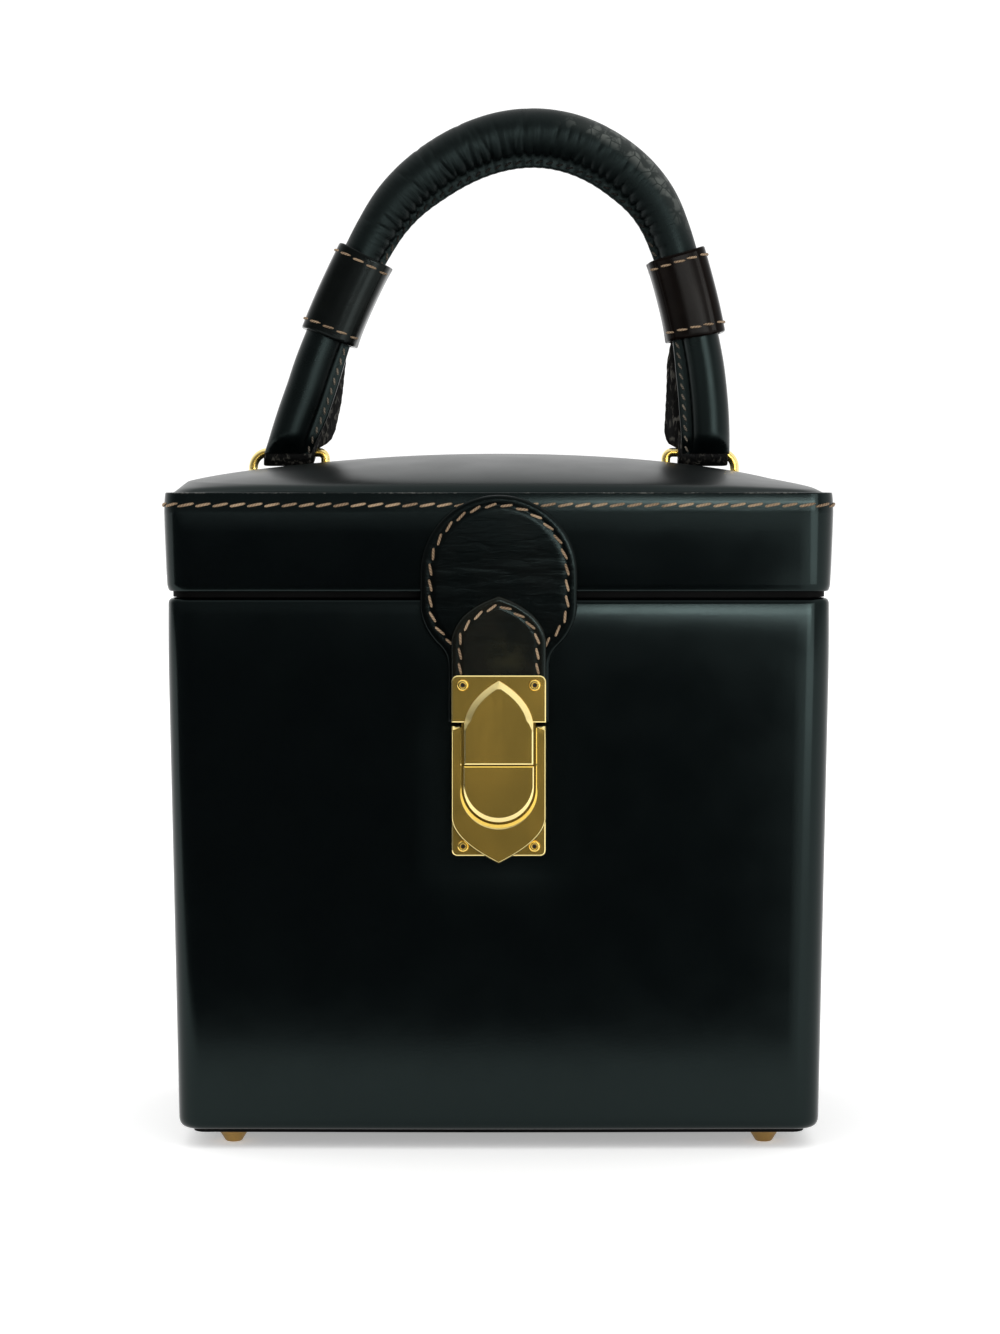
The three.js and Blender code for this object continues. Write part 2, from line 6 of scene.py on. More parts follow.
import bmesh
import bpy
import numpy as np
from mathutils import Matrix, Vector


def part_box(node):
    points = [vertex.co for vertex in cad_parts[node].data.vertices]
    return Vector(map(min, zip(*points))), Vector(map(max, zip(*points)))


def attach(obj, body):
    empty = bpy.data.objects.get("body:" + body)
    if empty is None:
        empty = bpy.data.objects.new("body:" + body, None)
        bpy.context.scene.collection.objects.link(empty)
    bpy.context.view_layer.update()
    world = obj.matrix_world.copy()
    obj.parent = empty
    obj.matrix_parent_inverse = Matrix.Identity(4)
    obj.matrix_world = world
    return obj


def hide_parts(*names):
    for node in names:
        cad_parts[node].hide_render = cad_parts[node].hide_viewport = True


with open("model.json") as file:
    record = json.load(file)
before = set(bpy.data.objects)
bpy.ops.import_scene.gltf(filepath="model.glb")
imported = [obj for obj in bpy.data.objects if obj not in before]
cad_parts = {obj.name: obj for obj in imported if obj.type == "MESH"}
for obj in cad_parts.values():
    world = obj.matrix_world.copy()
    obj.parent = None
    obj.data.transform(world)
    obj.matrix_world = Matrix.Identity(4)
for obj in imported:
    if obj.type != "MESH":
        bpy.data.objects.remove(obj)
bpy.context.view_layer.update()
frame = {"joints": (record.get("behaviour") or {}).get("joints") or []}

# Case
# A stiff box of board, open at the top and covered inside and out in smooth black calf. The leather is
# stretched over the corners and turned in at the mouth, so its edges are soft and no seam shows.

MM = 0.001
CASE_TAPER = 2.5  # how far each side has come in at the base
CASE_WALL = 3.0
CASE_CORNER = 7.0
LEATHER_PROUD = np.array([0.75, 0.3])  # how far the leather stands out from the board at the sides and front
PANEL_SWELL = 0.8  # how far a side stands out at its middle
BASE_ROUND = 3.0
BASE_DROP = 0.8  # the stretched leather comes down past the board
MOUTH_ROUND = 1.7
MOUTH_CURL = 24.0  # the wall starts to curl in this far below the mouth
MOUTH_ROLL = 0.4  # and has come in by this much there
FRONT_ROLL = 0.8  # the broad front and back come in by this much more
MOUTH_INNER_ROUND = 0.6
LOCK_PRESS = 0.7  # how deep the lock is drawn into the leather
LOCK_PRESS_REACH = 5.0
LEAST_CORNER = 0.35  # share of a corner's radius that is left inside the wall
INNER_BASE_ROUND = 1.5
WALL_START = 4.0  # height above the base at which the straight wall starts
WALL_ROWS = 44
CURL_SHARES = np.linspace(0.1, 0.8, 8)
LEATHER_GLOSS = (0.15, 0.19)
LEATHER_IOR = 1.32
LEATHER_TINT = (0.72, 1.0, 0.97, 1)  # a faint green painted into the gloss, the colour cast of the light
PAST_THE_MIDDLE = 1000.0  # an inset that closes a box-shaped grid in one point
MERGED_WITHIN = 2e-6  # metres


def solid_box(node):
    """Lowest and highest corner of one of the frame's solids, in millimetres."""
    return [np.array(corner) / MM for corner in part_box(node)]


def bend_corners(corners, steps=7):
    """A line through corners of (across, up, reach). A corner with a reach becomes a parabola that leaves
    one side and meets the other at that distance from the corner, and a reach of 0 keeps the corner."""
    points = np.array(corners, float)
    share = np.linspace(0, 1, steps)[:, None]
    line = [points[:1, :2]]
    for before, corner, after in zip(points, points[1:], points[2:]):
        here, reach = corner[:2], corner[2]
        back, ahead = before[:2] - here, after[:2] - here
        start = here + reach * back / np.linalg.norm(back)
        end = here + reach * ahead / np.linalg.norm(ahead)
        curve = (1 - share) ** 2 * start + 2 * share * (1 - share) * here + share**2 * end
        line.append(curve if reach else here[None])
    return np.concatenate([*line, points[-1:, :2]])


def box_grid(profile, half, corner, middle_y, narrowing=0.0, side_points=56, corner_points=12):
    """A box-shaped wall from a profile of (inset, height) rows. Each row is a level outline that far inside
    the outermost one: sides bowed out by swell * (1 - t^2)^2, with t from -1 to 1 along a side, and corners
    of a quarter circle. An inset past the middle gives a row that is one point."""
    inset, height = profile[:, :1], profile[:, 1:]
    reach = [np.maximum(size - inset - narrowing, 0) for size in half]
    least = np.minimum(*reach)
    turn = np.minimum(np.maximum(corner - inset, LEAST_CORNER * corner), least)
    swell = PANEL_SWELL * (least > 0)
    t = np.linspace(-1, 1, side_points, endpoint=False)
    a = np.linspace(0, np.pi / 2, corner_points, endpoint=False)
    flat_share = np.concatenate([t, np.ones(corner_points)])
    round_out = np.concatenate([np.ones(side_points), np.cos(a)])
    round_along = np.concatenate([np.zeros(side_points), np.sin(a)])
    bowed = np.concatenate([(1 - t**2) ** 2, np.zeros(corner_points)])
    sides = []
    for side in range(4):
        out = reach[side % 2] - turn + turn * round_out + swell * bowed
        along = (reach[1 - side % 2] - turn) * flat_share + turn * round_along
        x, y = [(out, along), (-along, out), (-out, -along), (along, -out)][side]
        sides.append(np.stack([x, y + middle_y, height + 0 * x], -1))
    return np.concatenate([*sides, sides[0][:, :1]], 1)


def surface_piece(name, grids, material, maps=None, sharp=None):
    """A mesh over grids of points, rows by columns: each four neighbours make a face. Points that fall
    together are merged, so a grid whose edges meet closes itself. maps holds a UV pair for each point, and
    edges that turn by more than sharp degrees stay sharp."""
    corners, faces, start = [], [], 0
    for grid in grids:
        rows, columns = grid.shape[-3:-1]
        number = start + np.arange(grid.size // 3).reshape(-1, rows, columns)
        across = [number[:, :-1, :-1], number[:, :-1, 1:], number[:, 1:, 1:], number[:, 1:, :-1]]
        faces.append(np.stack(across, -1).reshape(-1, 4))
        corners.append(grid.reshape(-1, 3))
        start += grid.size // 3
    faces = np.concatenate(faces)
    mesh = bpy.data.meshes.new(name)
    mesh.from_pydata(np.concatenate(corners) * MM, [], faces)
    if maps is not None:
        pairs = np.concatenate([pair.reshape(-1, 2) for pair in maps])
        mesh.uv_layers.new(name="UVMap").data.foreach_set("uv", pairs[faces.ravel()].ravel())
    work = bmesh.new()
    work.from_mesh(mesh)
    bmesh.ops.remove_doubles(work, verts=work.verts, dist=MERGED_WITHIN)
    bmesh.ops.dissolve_degenerate(work, edges=work.edges, dist=MERGED_WITHIN / 20)
    bmesh.ops.recalc_face_normals(work, faces=work.faces)
    work.to_mesh(mesh)
    work.free()
    mesh.polygons.foreach_set("use_smooth", np.ones(len(mesh.polygons), bool))
    if sharp is not None:
        mesh.set_sharp_from_angle(angle=np.radians(sharp))
    mesh.materials.append(material)
    piece = bpy.data.objects.new(name, mesh)
    bpy.context.scene.collection.objects.link(piece)
    return piece


class Shade:
    """A socket of a material's nodes. Sums, differences and products of values add Math nodes."""

    def __init__(self, tree, socket=None):
        self.tree = tree
        self.socket = socket

    def node(self, kind, settings, inputs, output=0):
        """Adds a node, with its settings and the values or links of its sockets. Gives one of its outputs."""
        made = self.tree.nodes.new("ShaderNode" + kind)
        for key, value in settings.items():
            setattr(made, key, value)
        for key, value in inputs.items():
            if isinstance(value, Shade):
                self.tree.links.new(value.socket, made.inputs[key])
            else:
                made.inputs[key].default_value = value
        return Shade(self.tree, made.outputs[output] if made.outputs else None)

    def math(self, operation, first, second=0.0):
        """One Math node on two values."""
        return self.node("Math", {"operation": operation}, {0: first, 1: second})

    def __add__(self, other):
        return self.math("ADD", self, other)

    def __sub__(self, other):
        return self.math("SUBTRACT", self, other)

    def __rsub__(self, other):
        return self.math("SUBTRACT", other, self)

    def __mul__(self, other):
        return self.math("MULTIPLY", self, other)

    def __truediv__(self, other):
        return self.math("DIVIDE", self, other)

    __radd__ = __add__
    __rmul__ = __mul__

    def between(self, low, high):
        """0 below low, 1 above high, and a smooth step from one to the other."""
        inputs = {"Value": self, "From Min": low, "From Max": high}
        return self.node("MapRange", {"interpolation_type": "SMOOTHSTEP"}, inputs)

    def mix(self, first, second):
        """The first colour where this value is 0, and the second where it is 1."""
        ends = [c if isinstance(c, Shade) else (*c, 1) for c in (first, second)]
        return self.node("Mix", {"data_type": "RGBA"}, {0: self, 6: ends[0], 7: ends[1]}, 2)

    def axis(self, letter):
        """One coordinate of a vector."""
        return self.node("SeparateXYZ", {}, {"Vector": self}, letter)

    def noise(self, scale, detail, distortion=0.0):
        """Soft noise from 0 to 1 over this vector."""
        inputs = {"Vector": self, "Scale": scale, "Detail": detail, "Distortion": distortion}
        return self.node("TexNoise", {}, inputs, "Fac")

    def stretched(self, *scale):
        """This vector with each coordinate scaled, so that a pattern on it is drawn out."""
        return self.node("Mapping", {}, {"Vector": self, "Scale": scale})

    def bump(self):
        """The normal of this relief, whose heights are in millimetres."""
        return self.node("Bump", {}, {"Strength": 1.0, "Distance": MM, "Height": self}, "Normal")


def new_material(name):
    """A material with no nodes but its Object coordinates, which are a start for the others."""
    material = bpy.data.materials.new(name)
    material.use_nodes = True
    material.node_tree.nodes.clear()
    return material, Shade(material.node_tree).node("TexCoord", {}, {}, "Object")


def toned(colour, share):
    """A colour made lighter or darker: each of its parts is multiplied by a share."""
    return [share * part for part in colour]


def close_material(start, **sockets):
    """Ends a material in a Principled shader with these sockets, their names written with _ for a space."""
    inputs = {key.replace("_", " "): value for key, value in sockets.items()}
    surface = start.node("BsdfPrincipled", {}, inputs)
    start.node("OutputMaterial", {}, {"Surface": surface})


def calf_leather(name, black, gloss, pale_mark=None, worn_colour=None):
    """Smooth polished calf: broad soft waves and fine pores in its bump, a gloss that wanders between the two
    given roughnesses, and a dry pale rub along a worn line, (height, reach) in millimetres."""
    material, place = new_material(name)
    waves = place.noise(24.0, 1.0)
    cloud = place.noise(70.0, 5.0)
    specks = place.noise(900.0, 3.0)
    pores = place.node("TexVoronoi", {}, {"Vector": place, "Scale": 1700.0}, "Distance")
    colour = specks.mix(black, toned(black, 1.5))
    rough = cloud.between(0.25, 0.75) * (gloss[1] - gloss[0]) + gloss[0]
    if pale_mark is not None:
        off_line = place.axis("Z") * (1 / MM) - pale_mark[0]
        near = 1 - place.math("ABSOLUTE", off_line) / pale_mark[1]
        rubbed = near.between(0.0, 1.0) * (cloud * 0.6 + specks * 0.4).between(0.46, 0.62)
        colour = rubbed.mix(colour, worn_colour)
        rough = rough + rubbed * 0.2
    bump = (waves * 0.13 + pores * 0.003 + cloud * 0.005).bump()
    close_material(
        place, Base_Color=colour, Roughness=rough, Normal=bump, IOR=LEATHER_IOR, Specular_Tint=LEATHER_TINT)
    return material


CASE_LOW, CASE_HIGH = solid_box("case_shell")
MIDDLE_Y = (CASE_LOW[1] + CASE_HIGH[1]) / 2
CASE_LOW[2] -= BASE_DROP
CASE_HALF = (CASE_HIGH - CASE_LOW)[:2] / 2 - PANEL_SWELL + LEATHER_PROUD
BLACK = (0.0004, 0.0007, 0.0009)

case_line = bend_corners([
    (PAST_THE_MIDDLE, CASE_LOW[2], 0),
    (0, CASE_LOW[2], BASE_ROUND),
    *[(0, z, 0) for z in np.linspace(CASE_LOW[2] + WALL_START, CASE_HIGH[2] - MOUTH_CURL, WALL_ROWS)],
    *[(MOUTH_ROLL * t**2, CASE_HIGH[2] - MOUTH_CURL * (1 - t), 0) for t in CURL_SHARES],
    (MOUTH_ROLL, CASE_HIGH[2], MOUTH_ROUND),
    (CASE_WALL, CASE_HIGH[2], MOUTH_INNER_ROUND),
    (CASE_WALL, CASE_LOW[2] + CASE_WALL, INNER_BASE_ROUND),
    (PAST_THE_MIDDLE, CASE_LOW[2] + CASE_WALL, 0),
])
case_drawn_in = CASE_TAPER * (CASE_HIGH[2] - case_line[:, 1:]) / (CASE_HIGH[2] - CASE_LOW[2])
case_grid = box_grid(case_line, CASE_HALF, CASE_CORNER, MIDDLE_Y, case_drawn_in)

from_middle = case_grid[..., 1] - MIDDLE_Y
inside_face = CASE_HALF[1] - case_drawn_in - np.abs(from_middle)
outer_face = np.clip((CASE_WALL - inside_face) / (0.6 * CASE_WALL), 0, 1)
curled = np.clip(1 - (CASE_HIGH[2] - case_grid[..., 2]) / MOUTH_CURL, 0, 1) ** 2
case_grid[..., 1] -= np.sign(from_middle) * FRONT_ROLL * outer_face * curled

lock_low, lock_high = solid_box("lock_housing")
beside = np.maximum(np.abs(case_grid[..., 0]) - lock_high[0], 0)
below = np.maximum(lock_low[2] - case_grid[..., 2], 0)
above = np.maximum(case_grid[..., 2] - lock_high[2], 0)
on_the_front = case_grid[..., 1] < CASE_LOW[1] + CASE_WALL / 2 + case_drawn_in
pressed = np.exp(-(beside**2 + below**2 + above**2) / LOCK_PRESS_REACH**2)
case_grid[..., 1] += LOCK_PRESS * pressed * on_the_front

case_calf = calf_leather("case_calf", BLACK, LEATHER_GLOSS)
case_leather = surface_piece("case_leather", [case_grid], case_calf)
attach(case_leather, "case")
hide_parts("case_shell")

# Base panel
# A flat panel of black leather board, a little smaller than the case. It is glued under the case to cover
# the turned-in leather, and the feet are screwed through it.

PANEL_ROUND = 0.5
BOARD_IOR = 1.15


def board_finish(name, black, roughness):
    """Matt black paper-backed leather board: a short fibrous grain and a dry, even roughness."""
    material, place = new_material(name)
    fibres = place.noise(1200.0, 4.0)
    patches = place.noise(50.0, 3.0)
    colour = patches.between(0.35, 0.65).mix(black, toned(black, 1.8))
    rough = fibres * 0.16 + roughness
    close_material(place, Base_Color=colour, Roughness=rough, Normal=(fibres * 0.05).bump(), IOR=BOARD_IOR)
    return material


rim_board = board_finish("rim_board", (0.0007, 0.0007, 0.0007), 0.55)
base_low, base_high = solid_box("base_panel")
base_line = bend_corners([
    (PAST_THE_MIDDLE, base_low[2], 0),
    (0, base_low[2], PANEL_ROUND),
    (0, base_high[2], PANEL_ROUND),
    (PAST_THE_MIDDLE, base_high[2], 0),
])
base_half = (base_high - base_low)[:2] / 2 - PANEL_SWELL
base_grid = box_grid(base_line, base_half, CASE_CORNER / 2, MIDDLE_Y)
base_board = surface_piece("base_board", [base_grid], rim_board)
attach(base_board, "case")
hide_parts("base_panel")

# Feet
# Four turned brass studs, dulled with age, screwed up through the base panel. Each is a short cone with a
# flat tread and a thin flange against the panel.

FOOT_LINE = bend_corners([  # radius, height and rounding
    (0, 0, 0),
    (2.2, 0, 0.5),
    (4.0, 2.9, 0.4),
    (5.0, 3.3, 0.35),
    (5.0, 3.8, 0.2),
    (0, 3.8, 0),
])


def turned_grid(line, centre, axis, sides=40):
    """A turned piece: a profile of (radius, height) rows carried round an axis, up or front, at a centre."""
    angle = np.linspace(0, 2 * np.pi, sides + 1)
    across = line[:, :1] * np.cos(angle)
    along = line[:, :1] * np.sin(angle)
    height = line[:, 1:] + 0 * across
    offsets = {"up": (across, along, height), "front": (across, -height, along)}[axis]
    return np.stack(offsets, -1) + np.array(centre)


def metal_finish(name, bright, dull, roughness, scratches, edges=None):
    """Plated or bare brass: a bright colour that dulls in broad clouds, fine straight scratches that break up
    the gloss, and shallow dents. What doesn't face the front may have a paler colour, a painted highlight."""
    material, place = new_material(name)
    lines = place.stretched(1.0, 1.0, 0.06).noise(2600.0, 2.0)
    cloud = place.noise(90.0, 2.0)
    tarnish = cloud.between(0.3, 0.75)
    colour = tarnish.mix(bright, dull)
    if edges is not None:
        # Painted highlight: the paler colour goes wherever the surface turns away from the front.
        turned = 1 + place.node("TexCoord", {}, {}, "Normal").axis("Y")
        colour = turned.between(0.02, 0.14).mix(colour, edges)
    rough = tarnish * 0.05 + lines * scratches + roughness
    bump = (lines * 0.0005 + cloud * 0.008).bump()
    close_material(place, Base_Color=colour, Roughness=rough, Metallic=1.0, Normal=bump)
    return material


aged_brass = metal_finish("aged_brass", (0.42, 0.27, 0.09), (0.22, 0.13, 0.05), 0.34, 0.2)
for place in ("front_left", "front_right", "back_left", "back_right"):
    low, high = solid_box("foot_" + place)
    foot_grid = turned_grid(FOOT_LINE, [*(low + high)[:2] / 2, low[2]], "up")
    foot = surface_piece("stud_" + place, [foot_grid], aged_brass)
    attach(foot, "case")
    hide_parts("foot_" + place)

# Inner rim
# A thin wall of black leather-covered board glued inside the mouth of the case. It stands up into the lid,
# keeps it in line, and shows as the black line between lid and case.

RIM_WALL = 1.6
RIM_ROUND = 0.7
RIM_TUCK = (1.2, 3.0)  # the thinner edge inside the case: how far in it starts and how far down it goes

rim_low, rim_high = solid_box("inner_rim")
rim_half = (rim_high - rim_low)[:2] / 2 - PANEL_SWELL
rim_line = bend_corners([
    (RIM_WALL, rim_low[2] - RIM_TUCK[1], 0),
    (RIM_TUCK[0], rim_low[2] - RIM_TUCK[1], 0),
    (RIM_TUCK[0], rim_low[2], 0),
    (0, rim_low[2], 0),
    (0, rim_high[2], RIM_ROUND),
    (RIM_WALL, rim_high[2], RIM_ROUND),
    (RIM_WALL, rim_low[2] - RIM_TUCK[1], 0),
])
rim_corner = CASE_CORNER - (CASE_HALF[0] - rim_half[0])
rim_grid = box_grid(rim_line, rim_half, rim_corner, MIDDLE_Y)
rim_wall = surface_piece("rim_wall", [rim_grid], rim_board, sharp=50)
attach(rim_wall, "case")
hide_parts("inner_rim")

# Hinge roll
# A strip of the same calf, rolled round a cord and laid in the back seam. It fills the gap between lid and
# case there, and the lid folds on it.

HINGE_END_ROUND = 1.2
HINGE_PLEAT = 0.06  # depth of the rolled leather's ripple
HINGE_WAVES = (2.1, 0.37)  # and how fast its two waves turn, in radians per millimetre


def unit(vectors):
    """Vectors of the same directions and of length 1."""
    return vectors / np.linalg.norm(vectors, axis=-1, keepdims=True)


def tube_grid(path, radius, side_way, sides=24):
    """A round tube along a path in a plane: rings of the given radius, a number or one for each point, about
    the path's own direction, with both ends closed in a point. side_way is square to the plane."""
    out = np.cross(unit(np.gradient(path, axis=0)), side_way)
    angle = np.linspace(0, 2 * np.pi, sides + 1)[None, :, None]
    ring = np.cos(angle) * out[:, None] + np.sin(angle) * np.array(side_way)
    size = (radius + np.zeros(len(path)))[:, None, None]
    rings = path[:, None] + size * ring
    ends = [np.repeat(path[[end], None], sides + 1, 1) for end in (0, -1)]
    return np.concatenate([ends[0], rings, ends[1]])


hinge_low, hinge_high = solid_box("hinge_roll")
hinge_x = np.linspace(hinge_low[0], hinge_high[0], 180)
hinge_path = np.stack([hinge_x, 0 * hinge_x, 0 * hinge_x], 1) + [0, *(hinge_low + hinge_high)[1:] / 2]
hinge_end = np.clip((hinge_high[0] - np.abs(hinge_x)) / HINGE_END_ROUND, 0.05, 1)
hinge_radius = (hinge_high[2] - hinge_low[2]) / 2 * np.sqrt(1 - (1 - hinge_end) ** 2)
hinge_radius -= HINGE_PLEAT * (1 + np.sin(hinge_x * HINGE_WAVES[0]) * np.sin(hinge_x * HINGE_WAVES[1]))
hinge_leather = surface_piece("hinge_leather", [tube_grid(hinge_path, hinge_radius, (0, 1, 0))], case_calf)
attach(hinge_leather, "case")
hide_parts("hinge_roll")

# Lid band
# A wide strip of calf on board, closed round the lid. Its lower edge is turned under, and its upper edge is
# cut, burnished and sewn to the padded top.

LID_WALL = 1.9
BAND_SHAPE = [  # share of the height from the lower edge, and how far the face is drawn in there
    (0.05, 0.75),
    (0.23, 0.5),
    (0.6, 0.15),
    (0.8, 0.0),
    (0.9, 0.08),
    (0.96, 0.22),
]
BAND_EASE = 0.6  # rounding from one of these to the next
BAND_TURN = (1.3, 0.5)  # inset and rounding of the turned lower edge
BAND_CUT = (0.36, 0.35)  # and of the cut upper edge
BAND_INNER_ROUND = 0.3
BAND_RUB = (0.11, 0.105, 0.095)
BAND_RUB_REACH = 0.45
BAND_DROP = 0.8  # the turned edge hangs lower at the front than over the hinge
BAND_DROP_RISE = 6.0  # up to this height

band_low, band_high = solid_box("lid_band")
band_half = (band_high - band_low)[:2] / 2 - PANEL_SWELL
band_rise = band_high[2] - band_low[2]
band_line = bend_corners([
    (LID_WALL, band_low[2], 0),
    (BAND_TURN[0], band_low[2], BAND_TURN[1]),
    *[(inset, band_low[2] + share * band_rise, BAND_EASE) for share, inset in BAND_SHAPE],
    (BAND_CUT[0], band_high[2], BAND_CUT[1]),
    (LID_WALL, band_high[2], BAND_INNER_ROUND),
    (LID_WALL, band_low[2], 0),
])
band_calf = calf_leather("band_calf", BLACK, LEATHER_GLOSS, (band_high[2], BAND_RUB_REACH), BAND_RUB)
band_grid = box_grid(band_line, band_half, CASE_CORNER, MIDDLE_Y)
at_the_edge = np.clip(1 - (band_grid[..., 2] - band_low[2]) / BAND_DROP_RISE, 0, 1)
at_the_front = np.clip(0.5 - (band_grid[..., 1] - MIDDLE_Y) / band_half[1], 0, 1)
band_grid[..., 2] -= BAND_DROP * at_the_edge * at_the_front
band_leather = surface_piece("band_leather", [band_grid], band_calf)
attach(band_leather, "lid")
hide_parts("lid_band")

# Padded top
# Calf drawn over a thin foam crown on a board. The crown is full to the edges, and the leather rolls down
# into the groove behind the band's sewn edge.

CROWN = [(5.0, 0.3), (6.7, 0.9)]  # heights and fullnesses of the rolled edge and of the crown
LOOP_DENT = 1.6  # depth of the dents under the loops
LOOP_DENT_AT = (58.0, 6.2)
LOOP_DENT_REACH = (13.0, 6.0)
PAD_EDGE = 0.6  # the pad starts this far below the top of the band
PAD_ROLL = 1.2  # rounding of the leather into the groove
PAD_SAG = 0.8  # the old foam stands higher at the left edge and lower at the right one
PAD_SAG_X = 80.0
PAD_FADE = 4.0  # how steeply dents and sag die out at the edge
LEFT_FADE = 20.0  # and the sag at the left one
PAD_ROWS = 90
PAD_CROWDING = 1.7  # the rows lie closer towards the edge
PAD_GLOSS = (0.3, 0.34)

pad_low, pad_high = solid_box("lid_top")
pad_half = (pad_high - pad_low)[:2] / 2 - PANEL_SWELL
pad_level = band_high[2] - PAD_EDGE


def pad_height(x, y):
    """Height of the padded top: its edge plus two crowns, each a height times ((1 - (x/a)^2) (1 - (y/b)^2))
    to the power of its fullness, less a bell-shaped dent on each side and a sag by (x/c)^5."""
    fall = np.maximum(1 - (x / (pad_half[0] + PANEL_SWELL)) ** 2, 0)
    fall = fall * np.maximum(1 - ((y - MIDDLE_Y) / (pad_half[1] + PANEL_SWELL)) ** 2, 0)
    off_x = (np.abs(x) - LOOP_DENT_AT[0]) / LOOP_DENT_REACH[0]
    off_y = (y - LOOP_DENT_AT[1]) / LOOP_DENT_REACH[1]
    dent = LOOP_DENT * np.exp(-(off_x**2) - off_y**2)
    inside = np.minimum(fall * PAD_FADE, 1)
    sag = PAD_SAG * (x / PAD_SAG_X) ** 5 * np.where(x > 0, inside, np.minimum(fall * LEFT_FADE, 1))
    crowns = sum(height * fall**fullness for height, fullness in CROWN)
    return pad_level + crowns - dent * inside - sag


pad_edge = box_grid(np.array([[0.0, pad_low[2]]]), pad_half, CASE_CORNER - LID_WALL, MIDDLE_Y)[0]
pad_shares = 1 - np.linspace(0, 1, PAD_ROWS) ** PAD_CROWDING
pad_rings = np.concatenate([[0.0, 0.98, 1.0, 1.0], pad_shares])[:, None, None]
pad_grid = (pad_edge - [0, MIDDLE_Y, 0]) * pad_rings + [0, MIDDLE_Y, 0]
pad_grid[4:, :, 2] = pad_height(pad_grid[4:, :, 0], pad_grid[4:, :, 1])
pad_grid[:3, :, 2] = pad_low[2]
pad_grid[3, :, 2] = pad_grid[4, :, 2] - PAD_ROLL
near_edge = np.exp(-((1 - pad_rings[4:, :, 0]) * pad_half[1] / PAD_ROLL) ** 2)
pad_grid[4:, :, 2] -= 0.5 * PAD_ROLL * near_edge
pad_calf = calf_leather("pad_calf", BLACK, PAD_GLOSS)
padded_top = surface_piece("padded_top", [pad_grid], pad_calf)
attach(padded_top, "lid")
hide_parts("lid_top")

# Lid stitching
# A row of slanting saddle stitches in waxed tan thread, all round the band just below its cut edge. It
# holds the band to the board of the padded top.

THREAD = 0.38  # radius
THREAD_BOW = 1.5  # height of a stitch over the leather, in thread radii
THREAD_THIN = 0.55  # share of its thickness that a stitch loses towards its ends
THREAD_TWIST = 7.0  # radians per millimetre
THREAD_STRANDS = 12.566  # radians round the thread: two strands
LID_STITCH_PITCH = 4.7
LID_STITCH_LENGTH = 4.75
LID_STITCH_SLANT = 11.0
LID_STITCH_DROP = 3.4  # below the band's upper edge
NEVER_SOILED = 1000.0  # a height above the whole bag
THREAD_TAN = (0.42, 0.3, 0.19)
# The darker thread colour is soil in soft clouds and painted shade between the strands.
THREAD_DARK_AND_SHADE = (0.11, 0.068, 0.04)


def stitch_grids(path, face, pitch, length, slant, radius=THREAD):
    """Saddle stitches along a path that lies on a surface whose outward directions are face. Each is a thread
    that comes up, runs for its length turned by slant against the path, and goes down again: a bow of
    height 1 - s^4 over the surface, with s from -1 to 1, as a six-sided tube that thins towards its ends.
    Gives the grids, one for each stitch, and their UVs, along and round the thread."""
    gaps = np.linalg.norm(np.diff(path, axis=0), axis=1)
    run = np.concatenate([[0], np.cumsum(gaps)])
    count = int(round(run[-1] / pitch))
    places = (np.arange(count) + 0.5) * run[-1] / count

    def read_at(places, line):
        return np.stack([np.interp(places, run, line[:, k]) for k in range(3)], 1)

    middle = read_at(places, path)
    out = unit(read_at(places, face))
    step = 0.3 * pitch
    before, after = [read_at(np.clip(places + end * step, 0, run[-1]), path) for end in (-1, 1)]
    way = after - before
    way = unit(way - out * np.sum(way * out, 1, keepdims=True))
    side = np.cross(out, way)
    lean = np.radians(slant)
    along = way * np.cos(lean) + side * np.sin(lean)
    beside = side * np.cos(lean) - way * np.sin(lean)
    s = np.array([-1, -1, -2 / 3, -1 / 3, 0, 1 / 3, 2 / 3, 1, 1])
    closed_tips = np.array([0, 1, 1, 1, 1, 1, 1, 1, 0])
    rise = radius * (THREAD_BOW * (1 - s**4) - 1.0)
    spine = middle[:, None] + along[:, None] * (s * length / 2)[:, None] + out[:, None] * rise[:, None]
    angle = np.linspace(0, 2 * np.pi, 7)
    thick = (closed_tips * radius * (1 - THREAD_THIN * s**4))[:, None, None]
    ring = np.cos(angle)[:, None] * beside[:, None, None] + np.sin(angle)[:, None] * out[:, None, None]
    grid = spine[:, :, None] + thick * ring
    maps = np.stack(np.broadcast_arrays(s[:, None] * length / 2, angle / (2 * np.pi)), -1)
    return grid, np.broadcast_to(maps, (count, *maps.shape))


def thread_finish(name, light, dark, soiled_above=NEVER_SOILED):
    """Waxed linen thread: strands that twist round it by its own UVs, with painted shade in the hollows
    between them and darker soil in clouds, and black with handling above a height in millimetres."""
    material, place = new_material(name)
    pair = place.node("TexCoord", {}, {}, "UV")
    twist = pair.axis("X") * THREAD_TWIST + pair.axis("Y") * THREAD_STRANDS
    strand = place.math("SINE", twist) * 0.5 + 0.5
    soil = place.noise(120.0, 3.0)
    soiled = (place.axis("Z") * (1 / MM)).between(soiled_above - 6, soiled_above + 6)
    # Painted shade: the darker colour lies in the hollows between the strands.
    unsoiled_and_shaded = (strand * 0.55 + soil.between(0.35, 0.65) * 0.45).mix(dark, light)
    colour = soiled.mix(unsoiled_and_shaded, toned(dark, 0.12))
    close_material(place, Base_Color=colour, Roughness=0.65, Normal=(strand * 0.12).bump(), IOR=1.25)
    return material


